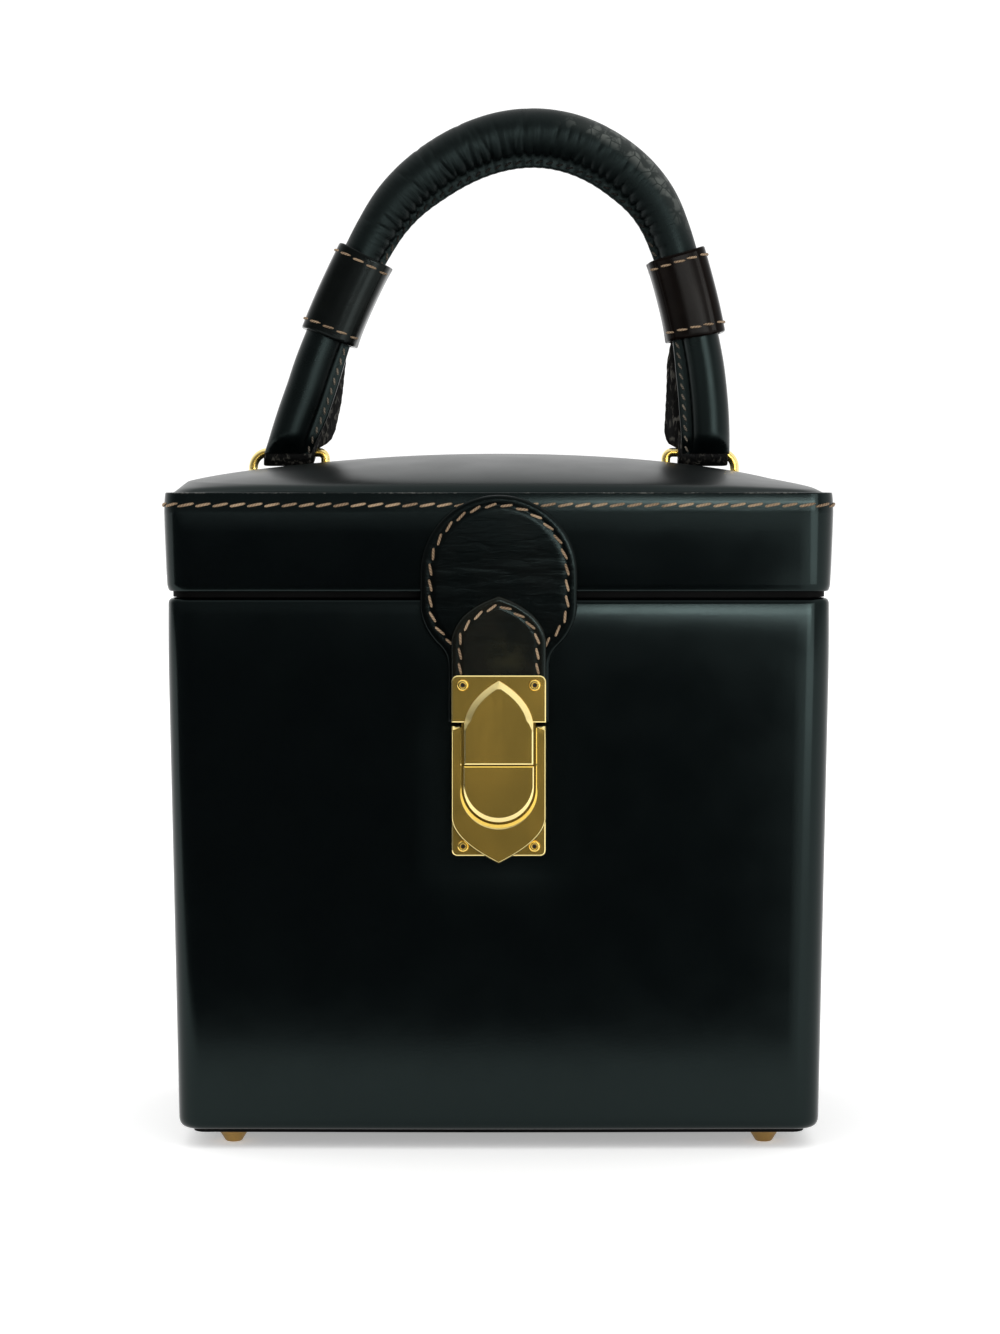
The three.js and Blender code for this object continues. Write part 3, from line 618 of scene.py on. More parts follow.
tan_thread = thread_finish("tan_thread", THREAD_TAN, THREAD_DARK_AND_SHADE)
stitch_level = np.array([[0.0, band_high[2] - LID_STITCH_DROP]])
lid_path = box_grid(stitch_level, band_half, CASE_CORNER, MIDDLE_Y)[0]
lid_face = np.cross(np.gradient(lid_path, axis=0), [0, 0, 1])
lid_grid, lid_maps = stitch_grids(lid_path, lid_face, LID_STITCH_PITCH, LID_STITCH_LENGTH, LID_STITCH_SLANT)
lid_stitches = surface_piece("lid_stitches", [lid_grid], tan_thread, [lid_maps])
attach(lid_stitches, "lid")

# Leather tab
# A keyhole of two layers of calf, sewn together round the edge and fixed to the front of the lid. Its round
# head lies over the seam and its neck carries the hasp. The cut edge is dyed and burnished.

TAB_NECK_HALF = 13.8
TAB_NECK_TOP = 134.5
TAB_NECK_PULL = 3.3  # how far the neck's line runs on before it bends out to the waist
TAB_WAIST = (16.6, 140.2)
TAB_WAIST_PULL = (0.6, 4.4)  # corner of the bend above the waist: inside the head, and above the waist
TAB_SIDE_END = 150.0
TAB_ROUND_Z = 159.4
TAB_EDGE_WORN = 0.6  # the edge has shrunk by this much
TAB_END = 118.9  # behind the hasp
TAB_WANDER = (0.8, 0.16)  # how far a crease wanders, and how fast, in radians per millimetre
TAB_CREASES = [  # height of a crease across the tab, its depth and its width
    (163.0, 0.03, 0.9),
    (160.2, 0.035, 0.7),
    (157.6, 0.045, 0.8),
    (155.1, 0.035, 0.7),
    (151.8, 0.03, 0.9),
]
TAB_EDGE = [  # inset from the cut edge, and share of the thickness there
    (0.25, 0.0),
    (0.0, 0.2),
    (0.0, 0.55),
    (0.18, 0.8),
    (0.55, 0.94),
    (1.2, 1.0),
    (2.2, 0.98),
    (2.75, 0.9),
    (3.2, 0.97),
    (4.2, 1.03),
]
TAB_BLACKS = [(0.0006, 0.0008, 0.0009), (0.0014, 0.0013, 0.0012), (0.002, 0.002, 0.002)]


def straight(start, end, steps=14):
    """Points on a straight line, without its end."""
    share = np.linspace(0, 1, steps, endpoint=False)[:, None]
    return np.array(start) * (1 - share) + np.array(end) * share


def bow(start, pull, end, steps=14):
    """Points on a parabola that leaves start and reaches end along the lines to pull, without its end."""
    share = np.linspace(0, 1, steps, endpoint=False)[:, None]
    start, pull, end = [np.array(p, float) for p in (start, pull, end)]
    return (1 - share) ** 2 * start + 2 * share * (1 - share) * pull + share**2 * end


def arc(centre, radius, start, end, steps=28):
    """Points on an arc from one angle to another in degrees, without its end."""
    angle = np.radians(np.linspace(start, end, steps, endpoint=False))
    return np.array(centre) + radius * np.stack([np.cos(angle), np.sin(angle)], 1)


def mirrored(right, last):
    """A closed outline in X and Z from its right half, which runs up to a last point on the middle line."""
    return np.concatenate([right, [last], right[right[:, 0] > 1e-6][::-1] * [-1, 1]])


def inset_outline(outline, distance):
    """A closed outline moved inwards: each point goes along the sum of its two sides' normals, divided by
    1 + their product, so that both sides move by the distance, which may differ from point to point. Points
    that would cross the middle line at a pointed tip meet on it."""
    ahead = unit(np.roll(outline, -1, 0) - outline)
    normal = np.stack([-ahead[:, 1], ahead[:, 0]], 1)
    before = np.roll(normal, 1, 0)
    moved = outline + (normal + before) / (1 + np.sum(normal * before, 1, keepdims=True)) * distance
    crossed = moved[:, 0] * outline[:, 0] < 0
    if crossed.any():
        tip = moved[~crossed & (outline[:, 0] != 0), 1].max()
        moved[crossed] = (0, tip)
        moved[(outline[:, 0] == 0) & (moved[:, 1] > tip)] = (0, tip)
    return moved


def plate_grid(outline, edge, back, spine, fill=10, bevel=1.0):
    """A flat piece that stands on the plane y = back and faces the front. Rows run from the middle of its
    back to the outline, round the edge by rows of (inset, height), and in to the spine, a stretch of the
    middle line from one height to another. A height may differ from point to point, and bevel widens the
    insets."""
    rings = [inset_outline(outline, reach * bevel) for reach, _ in edge]
    heights = [height + np.zeros(len(outline)) for _, height in edge]
    face = rings[-1]

    def middle(ring):
        return np.stack([0 * ring[:, 0], np.clip(ring[:, 1], *spine)], 1)

    for share in np.linspace(0, 1, fill + 1)[1:]:
        rings.append(face * (1 - share) + middle(face) * share)
        heights.append(heights[len(edge) - 1])
    flat = np.array([middle(rings[0]), *rings])
    depth = np.array([heights[0], *heights])
    grid = np.stack([flat[..., 0], back - depth, flat[..., 1]], -1)
    return np.concatenate([grid, grid[:, :1]], 1)


def tab_finish(name, colours, wear_and_reflection_place, wear_and_reflection_reach, grain=1.0, gloss=0.14, ior=LEATHER_IOR,
               tint=LEATHER_TINT):
    """Worn calf: two colours in clouds and a third, paler, round wear_and_reflection_place, (x, z) in
    millimetres, which is rubbed wear on the tab and the collars and a painted reflection of the hasp on the
    pointed piece. Close creases run across it, as strong as its grain, and handling breaks up its roughness,
    from gloss up."""
    material, place = new_material(name)
    off = [place.axis(axis) * (1 / MM) - at for axis, at in zip("XZ", wear_and_reflection_place)]
    away = sum(place.math("POWER", way / wear_and_reflection_reach, 2.0) for way in off)
    cloud = place.noise(110.0, 6.0)
    specks = place.noise(1100.0, 3.0)
    folds = place.stretched(0.22, 1.0, 1.0).noise(620.0, 4.0, 0.6)
    pale_mark = (1 - away).between(0.0, 1.0) * cloud.between(0.3, 0.75)
    colour = pale_mark.mix(cloud.between(0.35, 0.7).mix(*colours[:2]), colours[2])
    rough = (specks + folds) * (0.07 * grain) + gloss
    bump = (folds * (0.055 * grain) + specks * (0.006 * grain) + cloud * 0.02).bump()
    close_material(place, Base_Color=colour, Roughness=rough, Normal=bump, IOR=ior, Specular_Tint=tint)
    return material


tab_low, tab_high = solid_box("tab_back")
TAB_RADIUS = tab_high[0] - TAB_EDGE_WORN
TAB_BEND = (TAB_RADIUS - TAB_WAIST_PULL[0], TAB_WAIST[1] + TAB_WAIST_PULL[1])
tab_low[2] = TAB_END
tab_right = np.concatenate([
    straight((0, tab_low[2]), (TAB_NECK_HALF, tab_low[2]), 8),
    straight((TAB_NECK_HALF, tab_low[2]), (TAB_NECK_HALF, TAB_NECK_TOP)),
    bow((TAB_NECK_HALF, TAB_NECK_TOP), (TAB_NECK_HALF, TAB_NECK_TOP + TAB_NECK_PULL), TAB_WAIST, 8),
    bow(TAB_WAIST, TAB_BEND, (TAB_RADIUS, TAB_SIDE_END), 14),
    straight((TAB_RADIUS, TAB_SIDE_END), (TAB_RADIUS, TAB_ROUND_Z), 10),
    arc((0, TAB_ROUND_Z), TAB_RADIUS, 0, 90, 44),
])
tab_outline = mirrored(tab_right, (0, TAB_ROUND_Z + TAB_RADIUS))
tab_thick = tab_high[1] - tab_low[1]
tab_edge = [(inset, share * tab_thick) for inset, share in TAB_EDGE]
tab_grid = plate_grid(tab_outline, tab_edge, tab_high[1], (tab_low[2] + 5, TAB_ROUND_Z), fill=26)
front_rows = slice(len(TAB_EDGE) - 3, None)
for level, depth, width in TAB_CREASES:
    crease = level + TAB_WANDER[0] * np.sin(tab_grid[front_rows, :, 0] * TAB_WANDER[1] + level)
    off_crease = (crease - tab_grid[front_rows, :, 2]) / width
    tab_grid[front_rows, :, 1] += depth * np.exp(-(off_crease**2))
tab_calf = tab_finish("tab_calf", TAB_BLACKS, (6.0, 162.0), 16.0, ior=1.23)
tab_leather = surface_piece("tab_leather", [tab_grid], tab_calf)
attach(tab_leather, "lid")
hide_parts("tab_back")

# Pointed piece
# A second, smaller layer of calf, cut to a pointed arch and sewn on the front of the tab. The hasp is
# riveted through it.

POINT_HALF = 12.9
POINT_SHOULDER = 141.5
POINT_BEND = (1.4, 3.8)  # corner of the arch's bend: inside its side, and below its tip
POINT_EDGE = [  # inset from the cut edge, and share of the thickness there
    (0.2, 0.0),
    (0.0, 0.2),
    (0.0, 0.6),
    (0.18, 0.86),
    (0.6, 1.0),
    (1.6, 0.98),
    (2.3, 0.88),
    (3.0, 1.0),
]
# The third colour, pale olive just above the hasp, is a painted reflection of the gold hasp.
POINT_BROWNS_AND_REFLECTION = [(0.0036, 0.003, 0.0018), (0.0075, 0.0055, 0.003), (0.017, 0.0145, 0.006)]


def pointed_outline(half, bottom, shoulder, tip, bend):
    """A straight-sided outline that ends in a pointed arch. Each side of the arch is a parabola, and its
    corner lies inside the side and below the tip by the two parts of bend."""
    right = np.concatenate([
        straight((0, bottom), (half, bottom), 8),
        straight((half, bottom), (half, shoulder), 18),
        bow((half, shoulder), (half - bend[0], tip - bend[1]), (0, tip), 22),
    ])
    return mirrored(right, (0, tip))


point_low, point_high = solid_box("tab_front")
point_low[2] = TAB_END
point_outline = pointed_outline(POINT_HALF, point_low[2], POINT_SHOULDER, point_high[2], POINT_BEND)
point_edge = [(inset, share * (point_high[1] - point_low[1])) for inset, share in POINT_EDGE]
point_grid = plate_grid(point_outline, point_edge, point_high[1], (point_low[2] + 4, POINT_SHOULDER), fill=16)
# The pale olive patch above the hasp's tip is a painted reflection of the hasp.
point_calf = tab_finish("point_calf", POINT_BROWNS_AND_REFLECTION, (2.0, 137.5), 7.0)
point_leather = surface_piece("point_leather", [point_grid], point_calf)
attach(point_leather, "lid")
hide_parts("tab_front")

# Tab stitching
# Saddle stitches in the same tan thread, one row round the keyhole and one round the pointed piece. Each row
# is sunk in a light groove and holds the layers together.

TAB_THREAD = 0.36
TAB_STITCH_PITCH = 4.3
TAB_STITCH_SLANT = 14.0
TAB_STITCH_ROWS = {  # inset from the edge, depth of the groove, lowest height and length of a stitch
    "tab": (2.75, 0.16, 134.0, 4.1),
    "point": (2.35, 0.19, 130.5, 4.0),
}

for name, outline, front in (("tab", tab_outline, tab_low[1]), ("point", point_outline, point_low[1])):
    inset, groove, lowest, length = TAB_STITCH_ROWS[name]
    line = inset_outline(outline, inset)
    line = line[line[:, 1] > lowest]
    path = np.stack([line[:, 0], front + groove + 0 * line[:, 0], line[:, 1]], 1)
    face = np.tile([0.0, -1.0, 0.0], (len(path), 1))
    grid, pairs = stitch_grids(path, face, TAB_STITCH_PITCH, length, TAB_STITCH_SLANT, TAB_THREAD)
    stitches = surface_piece(name + "_stitches", [grid], tan_thread, [pairs])
    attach(stitches, "lid")

# Hasp
# The upper half of the press lock, stamped and gold plated: a plate riveted to the pointed piece, with a
# thick tongue in the form of a pointed arch whose upper edge has a broad bevel.

HASP_CHAMFER = 1.5
CHAMFER_EASE = 0.25
HASP_PLATE = 1.1
PLATE_BEVEL = 0.32
HASP_END = 119.0  # lower edge of the plate
TONGUE_HALF = 9.4
TONGUE_SHOULDER = 119.0
TONGUE_TIP = 130.5
TONGUE_BEND = (1.1, 4.8)
TONGUE_BEVEL = 1.7
BEVEL_START = 2.0  # the broad bevel starts to widen this far below the shoulder
BEVEL_GROWTH = 3.0
BEVEL_SLOPE = 0.75
BEVEL_ROWS = [(0.0, 1.05), (0.05, 0.92), (0.9, 0.07), (1.0, 0.0)]  # shares of a bevel's width and drop
THIN_BEVEL = 0.24  # share of a broad bevel that a thin one has
GOLD = (0.8, 0.54, 0.115)
DULL_GOLD = (0.74, 0.48, 0.095)
# Pale gold: a painted highlight on the bevels, sides and edges of the plated pieces.
PAINTED_HIGHLIGHT_GOLD = (0.95, 0.78, 0.34)
STAMPED = 24  # edges that turn by more degrees than this stay sharp

gold = metal_finish("gold_plate", GOLD, DULL_GOLD, 0.14, 0.06, PAINTED_HIGHLIGHT_GOLD)
hasp_low, hasp_high = solid_box("lock_hasp")
LOCK_HALF = hasp_high[0]


def bevelled_edge(depth, bevel):
    """The edge rows of a plate: a straight side, then a bevel with its two corners eased. The insets are
    shares of the bevel's width."""
    fall = BEVEL_SLOPE * bevel[:, 0]
    return [(0.0, 0.0), *[(inset, depth - drop * fall) for inset, drop in BEVEL_ROWS]]


def broadening(bevel, share):
    """A bevel's width at each point: thin where the share is 0, and whole where it is 1."""
    return bevel * (THIN_BEVEL + (1 - THIN_BEVEL) * share)


def bevelled_plate(outline, depth, back, spine, fill, bevel):
    """A plate on the plane y = back with a bevel all round, as wide as bevel says at each point."""
    return plate_grid(outline, bevelled_edge(depth, bevel), back, spine, fill, bevel)


hasp_outline = mirrored(np.concatenate([
    straight((0, HASP_END), (LOCK_HALF, HASP_END), 10),
    straight((LOCK_HALF, HASP_END), (LOCK_HALF, hasp_high[2] - HASP_CHAMFER), 10),
    bow((LOCK_HALF, hasp_high[2] - HASP_CHAMFER), (LOCK_HALF - CHAMFER_EASE, hasp_high[2] - CHAMFER_EASE),
        (LOCK_HALF - HASP_CHAMFER, hasp_high[2]), 8),
    straight((LOCK_HALF - HASP_CHAMFER, hasp_high[2]), (0, hasp_high[2]), 10),
]), (0, hasp_high[2]))
plate_bevel = np.full((len(hasp_outline), 1), PLATE_BEVEL)
hasp_spine = (HASP_END + 6, HASP_END + 6.5)
hasp_plate = bevelled_plate(hasp_outline, HASP_PLATE, hasp_high[1], hasp_spine, 4, plate_bevel)
tongue_outline = pointed_outline(TONGUE_HALF, hasp_low[2], TONGUE_SHOULDER, TONGUE_TIP, TONGUE_BEND)
up_the_arch = np.clip((tongue_outline[:, 1:] - TONGUE_SHOULDER + BEVEL_START) / BEVEL_GROWTH, 0, 1)
tongue_bevel = broadening(TONGUE_BEVEL, up_the_arch)
tongue_spine = (hasp_low[2] + 4, TONGUE_SHOULDER)
tongue_depth = hasp_high[1] - hasp_low[1]
tongue = bevelled_plate(tongue_outline, tongue_depth, hasp_high[1], tongue_spine, 6, tongue_bevel)
hasp = surface_piece("hasp", [hasp_plate, tongue], gold, sharp=STAMPED)
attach(hasp, "lid")
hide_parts("lock_hasp")

# Lock housing
# The lower half of the lock, plated like the hasp: a base plate on the case, and a thick shield on it whose
# two rails start in a rounded shoulder and run down to a point, with a U-shaped slot for the button.

RAIL_TOP = 118.85
RAIL_ROLL = 2.4  # length of the rounded start of a rail
SHIELD_SHOULDER = 92.5
SHIELD_BEND = (0.6, 6.0)  # corner of the bend to the point: inside the shoulder, and below it
SLOT_HALF = 10.15
SLOT_BOTTOM = 90.95
BASE_PLATE = 1.1
BASE_CORNER = 1.7
BASE_BOTTOM = 81.9
SHIELD_BEVEL = 0.34
SLOT_BEVEL = 1.25
ROUND_GROWTH = 0.8  # power by which a broad bevel widens down a round edge

base_outline = mirrored(np.concatenate([
    straight((0, BASE_BOTTOM), (LOCK_HALF - BASE_CORNER, BASE_BOTTOM), 10),
    bow((LOCK_HALF - BASE_CORNER, BASE_BOTTOM), (LOCK_HALF, BASE_BOTTOM),
        (LOCK_HALF, BASE_BOTTOM + BASE_CORNER), 8),
    straight((LOCK_HALF, BASE_BOTTOM + BASE_CORNER), (LOCK_HALF, RAIL_TOP), 16),
    straight((LOCK_HALF, RAIL_TOP), (0, RAIL_TOP), 10),
]), (0, RAIL_TOP))
plate_bevel = np.full((len(base_outline), 1), PLATE_BEVEL)
base_spine = (BASE_BOTTOM + 10, RAIL_TOP - 10)
base_plate = bevelled_plate(base_outline, BASE_PLATE, lock_high[1], base_spine, 4, plate_bevel)

slot_centre = SLOT_BOTTOM + SLOT_HALF
down_steps, round_steps = 26, 30
outer_right = np.concatenate([
    straight((LOCK_HALF, RAIL_TOP), (LOCK_HALF, SHIELD_SHOULDER), down_steps),
    bow((LOCK_HALF, SHIELD_SHOULDER), (LOCK_HALF - SHIELD_BEND[0], SHIELD_SHOULDER - SHIELD_BEND[1]),
        (0, lock_low[2]), round_steps),
])
slot_right = np.concatenate([
    straight((SLOT_HALF, RAIL_TOP), (SLOT_HALF, slot_centre), down_steps),
    arc((0, slot_centre), SLOT_HALF, 0, -90, round_steps),
])
outer_line = np.concatenate([outer_right, [(0, lock_low[2])], outer_right[::-1] * [-1, 1]])
slot_line = np.concatenate([slot_right, [(0, SLOT_BOTTOM)], slot_right[::-1] * [-1, 1]])


def line_normals(line):
    """Unit normals of an open line, to the left of the way it runs."""
    way = unit(np.gradient(line, axis=0))
    return np.stack([-way[:, 1], way[:, 0]], 1)


house_depth = lock_high[1] - lock_low[1]
roll = np.clip((outer_line[:, 1] - RAIL_TOP + RAIL_ROLL) / RAIL_ROLL, 0, 0.999)
full = BASE_PLATE + (house_depth - BASE_PLATE) * np.sqrt(1 - roll**2)
low_on_the_slot = np.clip((slot_centre - slot_line[:, 1:]) / SLOT_HALF, 0, 1)
slot_bevel = broadening(SLOT_BEVEL, low_on_the_slot**ROUND_GROWTH)
slot_fall = BEVEL_SLOPE * slot_bevel[:, 0]
inwards = -line_normals(outer_line)
outwards = line_normals(slot_line)
shield_rows = [  # lines across the shield, from its outer foot to the slot's, and their drop below its face
    (outer_line, full),
    *[(outer_line + share * SHIELD_BEVEL * inwards, drop * SHIELD_BEVEL) for share, drop in BEVEL_ROWS],
    (0.5 * (outer_line + slot_line), 0.0),
    *[(slot_line + share * slot_bevel * outwards, drop * slot_fall) for share, drop in BEVEL_ROWS[::-1]],
    (slot_line, full),
    (outer_line, full),
]
shield = np.stack([
    np.stack([line[:, 0], lock_high[1] - np.maximum(full - drop, 0), line[:, 1]], -1)
    for line, drop in shield_rows
])
rail_ends = [shield[:, 0], shield[:, -1]]
shield_caps = [np.stack([end, np.tile(end.mean(0), (len(end), 1))]) for end in rail_ends]
housing = surface_piece("housing", [base_plate, shield, *shield_caps], gold, sharp=STAMPED)
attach(housing, "case")
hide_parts("lock_housing")

# Button
# A D-shaped button, plated like the lock, that is pressed in through the slot below the tongue. Its curved
# lower edge has a broad bevel.

BUTTON_HALF = 9.55
BUTTON_BEVEL = 1.3

button_low, button_high = solid_box("lock_button")
button_centre = button_low[2] + BUTTON_HALF
button_outline = mirrored(np.concatenate([
    arc((0, button_centre), BUTTON_HALF, -90, 0, 34),
    straight((BUTTON_HALF, button_centre), (BUTTON_HALF, button_high[2]), 12),
    straight((BUTTON_HALF, button_high[2]), (0, button_high[2]), 10),
]), (0, button_high[2]))
low_on_the_button = np.clip((button_centre - button_outline[:, 1:]) / BUTTON_HALF, 0, 1)
button_bevel = broadening(BUTTON_BEVEL, low_on_the_button**ROUND_GROWTH)
button_spine = (button_centre - 2, button_high[2] - 3)
button_depth = button_high[1] - button_low[1]
button_grid = bevelled_plate(button_outline, button_depth, button_high[1], button_spine, 6, button_bevel)
button = surface_piece("button", [button_grid], gold, sharp=STAMPED)
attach(button, "button")
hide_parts("lock_button")

# Lock rivets
# Four tubular brass rivets, plated with the lock. Their ends are rolled over into a ring round a shallow
# middle, painted black as shade.

RIVET_LINE = bend_corners([  # radius, height and rounding
    (0, 0.08, 0),
    (0.5, 0.08, 0.12),
    (0.66, 0.74, 0.2),
    (1.1, 0.9, 0.3),
    (1.62, 0.45, 0.28),
    (1.62, 0, 0),
    (0, 0, 0),
])
RIVET_HOLE = 0.62
RIVET_SIDES = 28


def rivet_finish(name, bright, hole_shade):
    """Gold plate, painted black as shade in the hole, by the piece's own UVs: the distance from the rivet's
    middle.
    """
    material, place = new_material(name)
    away = place.node("TexCoord", {}, {}, "UV").axis("X")
    lines = place.noise(1800.0, 3.0)
    ring = away.between(RIVET_HOLE - 0.12, RIVET_HOLE)
    rough = lines * 0.1 + 0.16 + (1 - ring) * 0.4
    close_material(place, Base_Color=ring.mix(hole_shade, bright), Roughness=rough, Metallic=ring)
    return material


# The second colour is painted shade, black in the rivet's shallow hole.
rivet_gold = rivet_finish("rivet_gold", (0.95, 0.67, 0.17), (0.012, 0.008, 0.004))
rivet_maps = np.broadcast_to(RIVET_LINE[:, None], (len(RIVET_LINE), RIVET_SIDES + 1, 2))
for level, body in (("top", "lid"), ("low", "case")):
    for side in ("left", "right"):
        node = f"lock_rivet_{level}_{side}"
        low, high = solid_box(node)
        centre = [(low[0] + high[0]) / 2, high[1], (low[2] + high[2]) / 2]
        ring = turned_grid(RIVET_LINE, centre, "front", RIVET_SIDES)
        rivet = surface_piece(f"rivet_{level}_{side}", [ring], rivet_gold, [rivet_maps])
        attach(rivet, body)
        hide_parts(node)

# Handle loops
# Two gold-plated wire loops that carry the handle. Each is a bar bent down at both ends and fixed through
# the padded top with a flared foot.

WIRE = 1.3
LOOP_FOOT = 2.2
LOOP_BENDS = {"outer": 4.4, "inner": 1.9}
LOOP_SPANS = {"left": (-61.0, 10.5), "right": (58.7, 10.0)}  # middle, and half the length between the wires
FOOT_FLARE = np.array([1.0, 0.95, 0.5, 0.12, 0.0])  # share of the foot's flare, from the seat up
FLARE_STEP = 0.22

bar = next(joint for joint in frame["joints"] if joint["name"] == "handle_swing")
BAR_Y, BAR_Z = np.array(bar["pos_m"])[1:] / MM


def loop_half(middle, reach, end, turn):
    """One half of a loop's line, from its foot up and over to the bar, with the radius at each point: a
    flared foot, a straight rise, and a quarter circle into the bar."""
    x = middle + end * reach
    seat = pad_height(x + np.sign(x) * LOOP_FOOT, BAR_Y)
    rise = seat + FLARE_STEP * np.arange(len(FOOT_FLARE))
    angle = np.linspace(0, np.pi / 2, 14)
    bend_x = x - end * turn * (1 - np.cos(angle))
    above_foot = rise[-1] + 0.1 + 0.02 * np.arange(len(angle))
    bend_z = np.maximum(BAR_Z - turn * (1 - np.sin(angle)), above_foot)
    line = np.concatenate([np.stack([0 * rise + x, rise], 1), np.stack([bend_x, bend_z], 1)])
    radius = np.concatenate([WIRE + (LOOP_FOOT - WIRE) * FOOT_FLARE, 0 * angle + WIRE])
    return line, radius


for side, name in ((-1, "left"), (1, "right")):
    middle, reach = LOOP_SPANS[name]
    bends = [LOOP_BENDS["outer" if end == side else "inner"] for end in (-1, 1)]
    left, right = [loop_half(middle, reach, end, turn) for end, turn in zip((-1, 1), bends)]
    line = np.concatenate([left[0], right[0][::-1]])
    radius = np.concatenate([left[1], right[1][::-1]])
    path = np.stack([line[:, 0], 0 * line[:, 0] + BAR_Y, line[:, 1]], 1)
    loop_grid = tube_grid(path, radius, (0, 1, 0), 28)
    loop = surface_piece("wire_loop_" + name, [loop_grid], gold, sharp=40)
    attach(loop, "lid")
    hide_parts("handle_loop_" + name)

# Grip
# Black calf rolled round a cord core, its edges sewn together in a seam along the inside of the arch. The
# bend gathers the leather into puckers beside the seam and creases across the roll.

GRIP_BASE = 188.5
GRIP_RISE = 96.8
GRIP_HALF_SPAN = 60.5
GRIP_PINCH = 2.0  # the legs are drawn in by this much half-way up
GRIP_HAUNCH = 2.2  # and spread again by this much at the shoulders of the arch
HAUNCH_BELL = (0.82, 0.16)  # share of the rise at the shoulders, and how far the spread reaches from there
GRIP_LEAN = 9.8  # the soft arch leans to the right at its top
LEFT_FLARE = 2.6  # the left leg slants out towards its foot
FLARE_END = 0.25  # from this share of the rise down
FLARE_POWER = 1.5
LEVEL_FOOT = (0.2, 0.12)  # share of the rise below which sections turn level, and over which they do so
SMALL_TURN = 0.004  # radians
GRIP_FORWARD = 2.2  # the handle stands this far in front of the bag's middle
GRIP_END = 192.6  # height of the leg's lower end, in front of the bar
GRIP_ROWS = 720
GRIP_SECTIONS = np.array([  # share of the rise, radius, front and back depth, seam height, set out, set back
    (0.042, 5.6, 0.40, 0.10, 2.4, 0.8, 0.9),
    (0.057, 5.6, 0.62, 0.10, 2.6, 0.8, 0.7),
    (0.067, 5.6, 0.80, 0.11, 2.7, 0.8, 0.4),
    (0.078, 5.6, 0.94, 0.12, 2.8, 0.8, 0.2),
    (0.09, 5.6, 1.00, 0.13, 2.9, 0.8, 0.0),
    (0.17, 5.6, 1.00, 0.30, 3.2, 0.8, 0.0),
    (0.30, 5.6, 1.00, 0.86, 3.0, 0.7, 0.0),
    (0.39, 5.5, 1.00, 1.00, 2.4, 0.5, 0.0),
    (0.63, 5.6, 1.00, 1.00, 1.6, 0.2, 0.0),
    (0.725, 5.9, 1.00, 1.00, 1.7, 0.0, 0.0),
    (0.80, 6.3, 1.00, 1.00, 2.1, 0.0, 0.0),
    (0.88, 6.6, 1.00, 1.00, 2.9, 0.0, 0.0),
    (1.00, 6.8, 1.00, 1.00, 3.5, 0.0, 0.0),
])
SECTION_EASE = 0.016  # share of the rise over which the sections run into each other
SEAM_HALF = 1.7  # half the thickness of the sewn seam
SEAM_START = 6.4  # radius at which the roll goes over into the seam
SEAM_LEAST = 0.3  # least depth of the seam's back
FIN_SHAPE = np.array([  # share of the seam's height, and of its half thickness, from its front to its back
    (0.15, 0.8),
    (0.4, 0.72),
    (0.8, 0.78),
    (0.95, 0.7),
    (1.0, 0.4),
    (1.0, -0.4),
    (0.95, -0.7),
    (0.8, -0.78),
    (0.4, -0.72),
    (0.15, -0.8),
])
FIN_RIPPLE = 0.12  # how far the seam waves between the stitches on the arch
ARCH_START = (0.62, 0.12)  # share of the rise above which the roll is bent, and over which that grows
GATHER_PITCH = 3.3
GATHER_DEPTH = 0.75
GATHER_REACH = 0.5
GATHER_DRIFT = (0.5, 0.31)  # how far the puckers drift from an even pitch, and how fast
GATHER_ROUND = 0.7  # power that makes the puckers full and the folds between them narrow
GATHER_MEAN = 0.55  # taken off, so that the puckers stand out and the folds go in
CREASE_COUNT = 110
ROLL_LENGTH = 40.0  # way round the roll, in its UVs
BENT_HEIGHTS = (236.0, 262.0)  # the creased look starts and is whole
GRIP_IOR = 1.28
RUBBED_RUN = (130.0, 144.0, 164.0, 184.0)  # the cracked patch: start, whole, whole and end along the roll
RUBBED_ROUND = (17.0, 20.5, 23.0, 26.5)  # and round it
# Pale grey of the rubbed patch: worn, cracked leather and in part a painted sheen.
RUBBED_GREY_AND_SHEEN = (0.085, 0.09, 0.083)

GRIP_Y = MIDDLE_Y - GRIP_FORWARD


def grip_line(angle):
    """The middle of the grip, from left to right for 0 to pi: half an ellipse, drawn in by
    pinch * sin(pi * rise), spread at its shoulders by a bell of rise, leaning to the right by lean * rise,
    with the left leg slanting out at its foot. Gives X and Z."""
    rise, side = np.sin(angle), np.cos(angle)
    spread = GRIP_HAUNCH * np.exp(-(((rise - HAUNCH_BELL[0]) / HAUNCH_BELL[1]) ** 2))
    drawn = GRIP_PINCH * np.sin(np.pi * rise) - spread
    flare = LEFT_FLARE * np.maximum(1 - rise / FLARE_END, 0) ** FLARE_POWER * (side > 0)
    x = np.tanh(4 * side) * drawn - GRIP_HALF_SPAN * side + GRIP_LEAN * rise - flare
    return np.stack([x, GRIP_BASE + GRIP_RISE * rise], -1)


def grip_frame(angle):
    """The grip's line at these angles and the direction that points out of the arch there, in X and Z. It is
    level at the foot of each leg."""
    way = unit(grip_line(angle + SMALL_TURN) - grip_line(angle - SMALL_TURN))
    level = np.stack([-np.sign(np.cos(angle)), 0 * angle], -1)
    foot = np.clip((LEVEL_FOOT[0] - np.sin(angle)) / LEVEL_FOOT[1], 0, 1)[..., None]
    outward = (1 - foot) * np.stack([-way[..., 1], way[..., 0]], -1) + foot * level
    return grip_line(angle), unit(outward)


def grip_place(angle, out, front):
    """Points at angles along the grip, by their distance out of the arch and their distance to the front."""
    line, outward = grip_frame(angle)
    flat = line + outward * out[..., None]
    return np.stack([flat[..., 0], GRIP_Y - front + 0 * out, flat[..., 1]], -1)


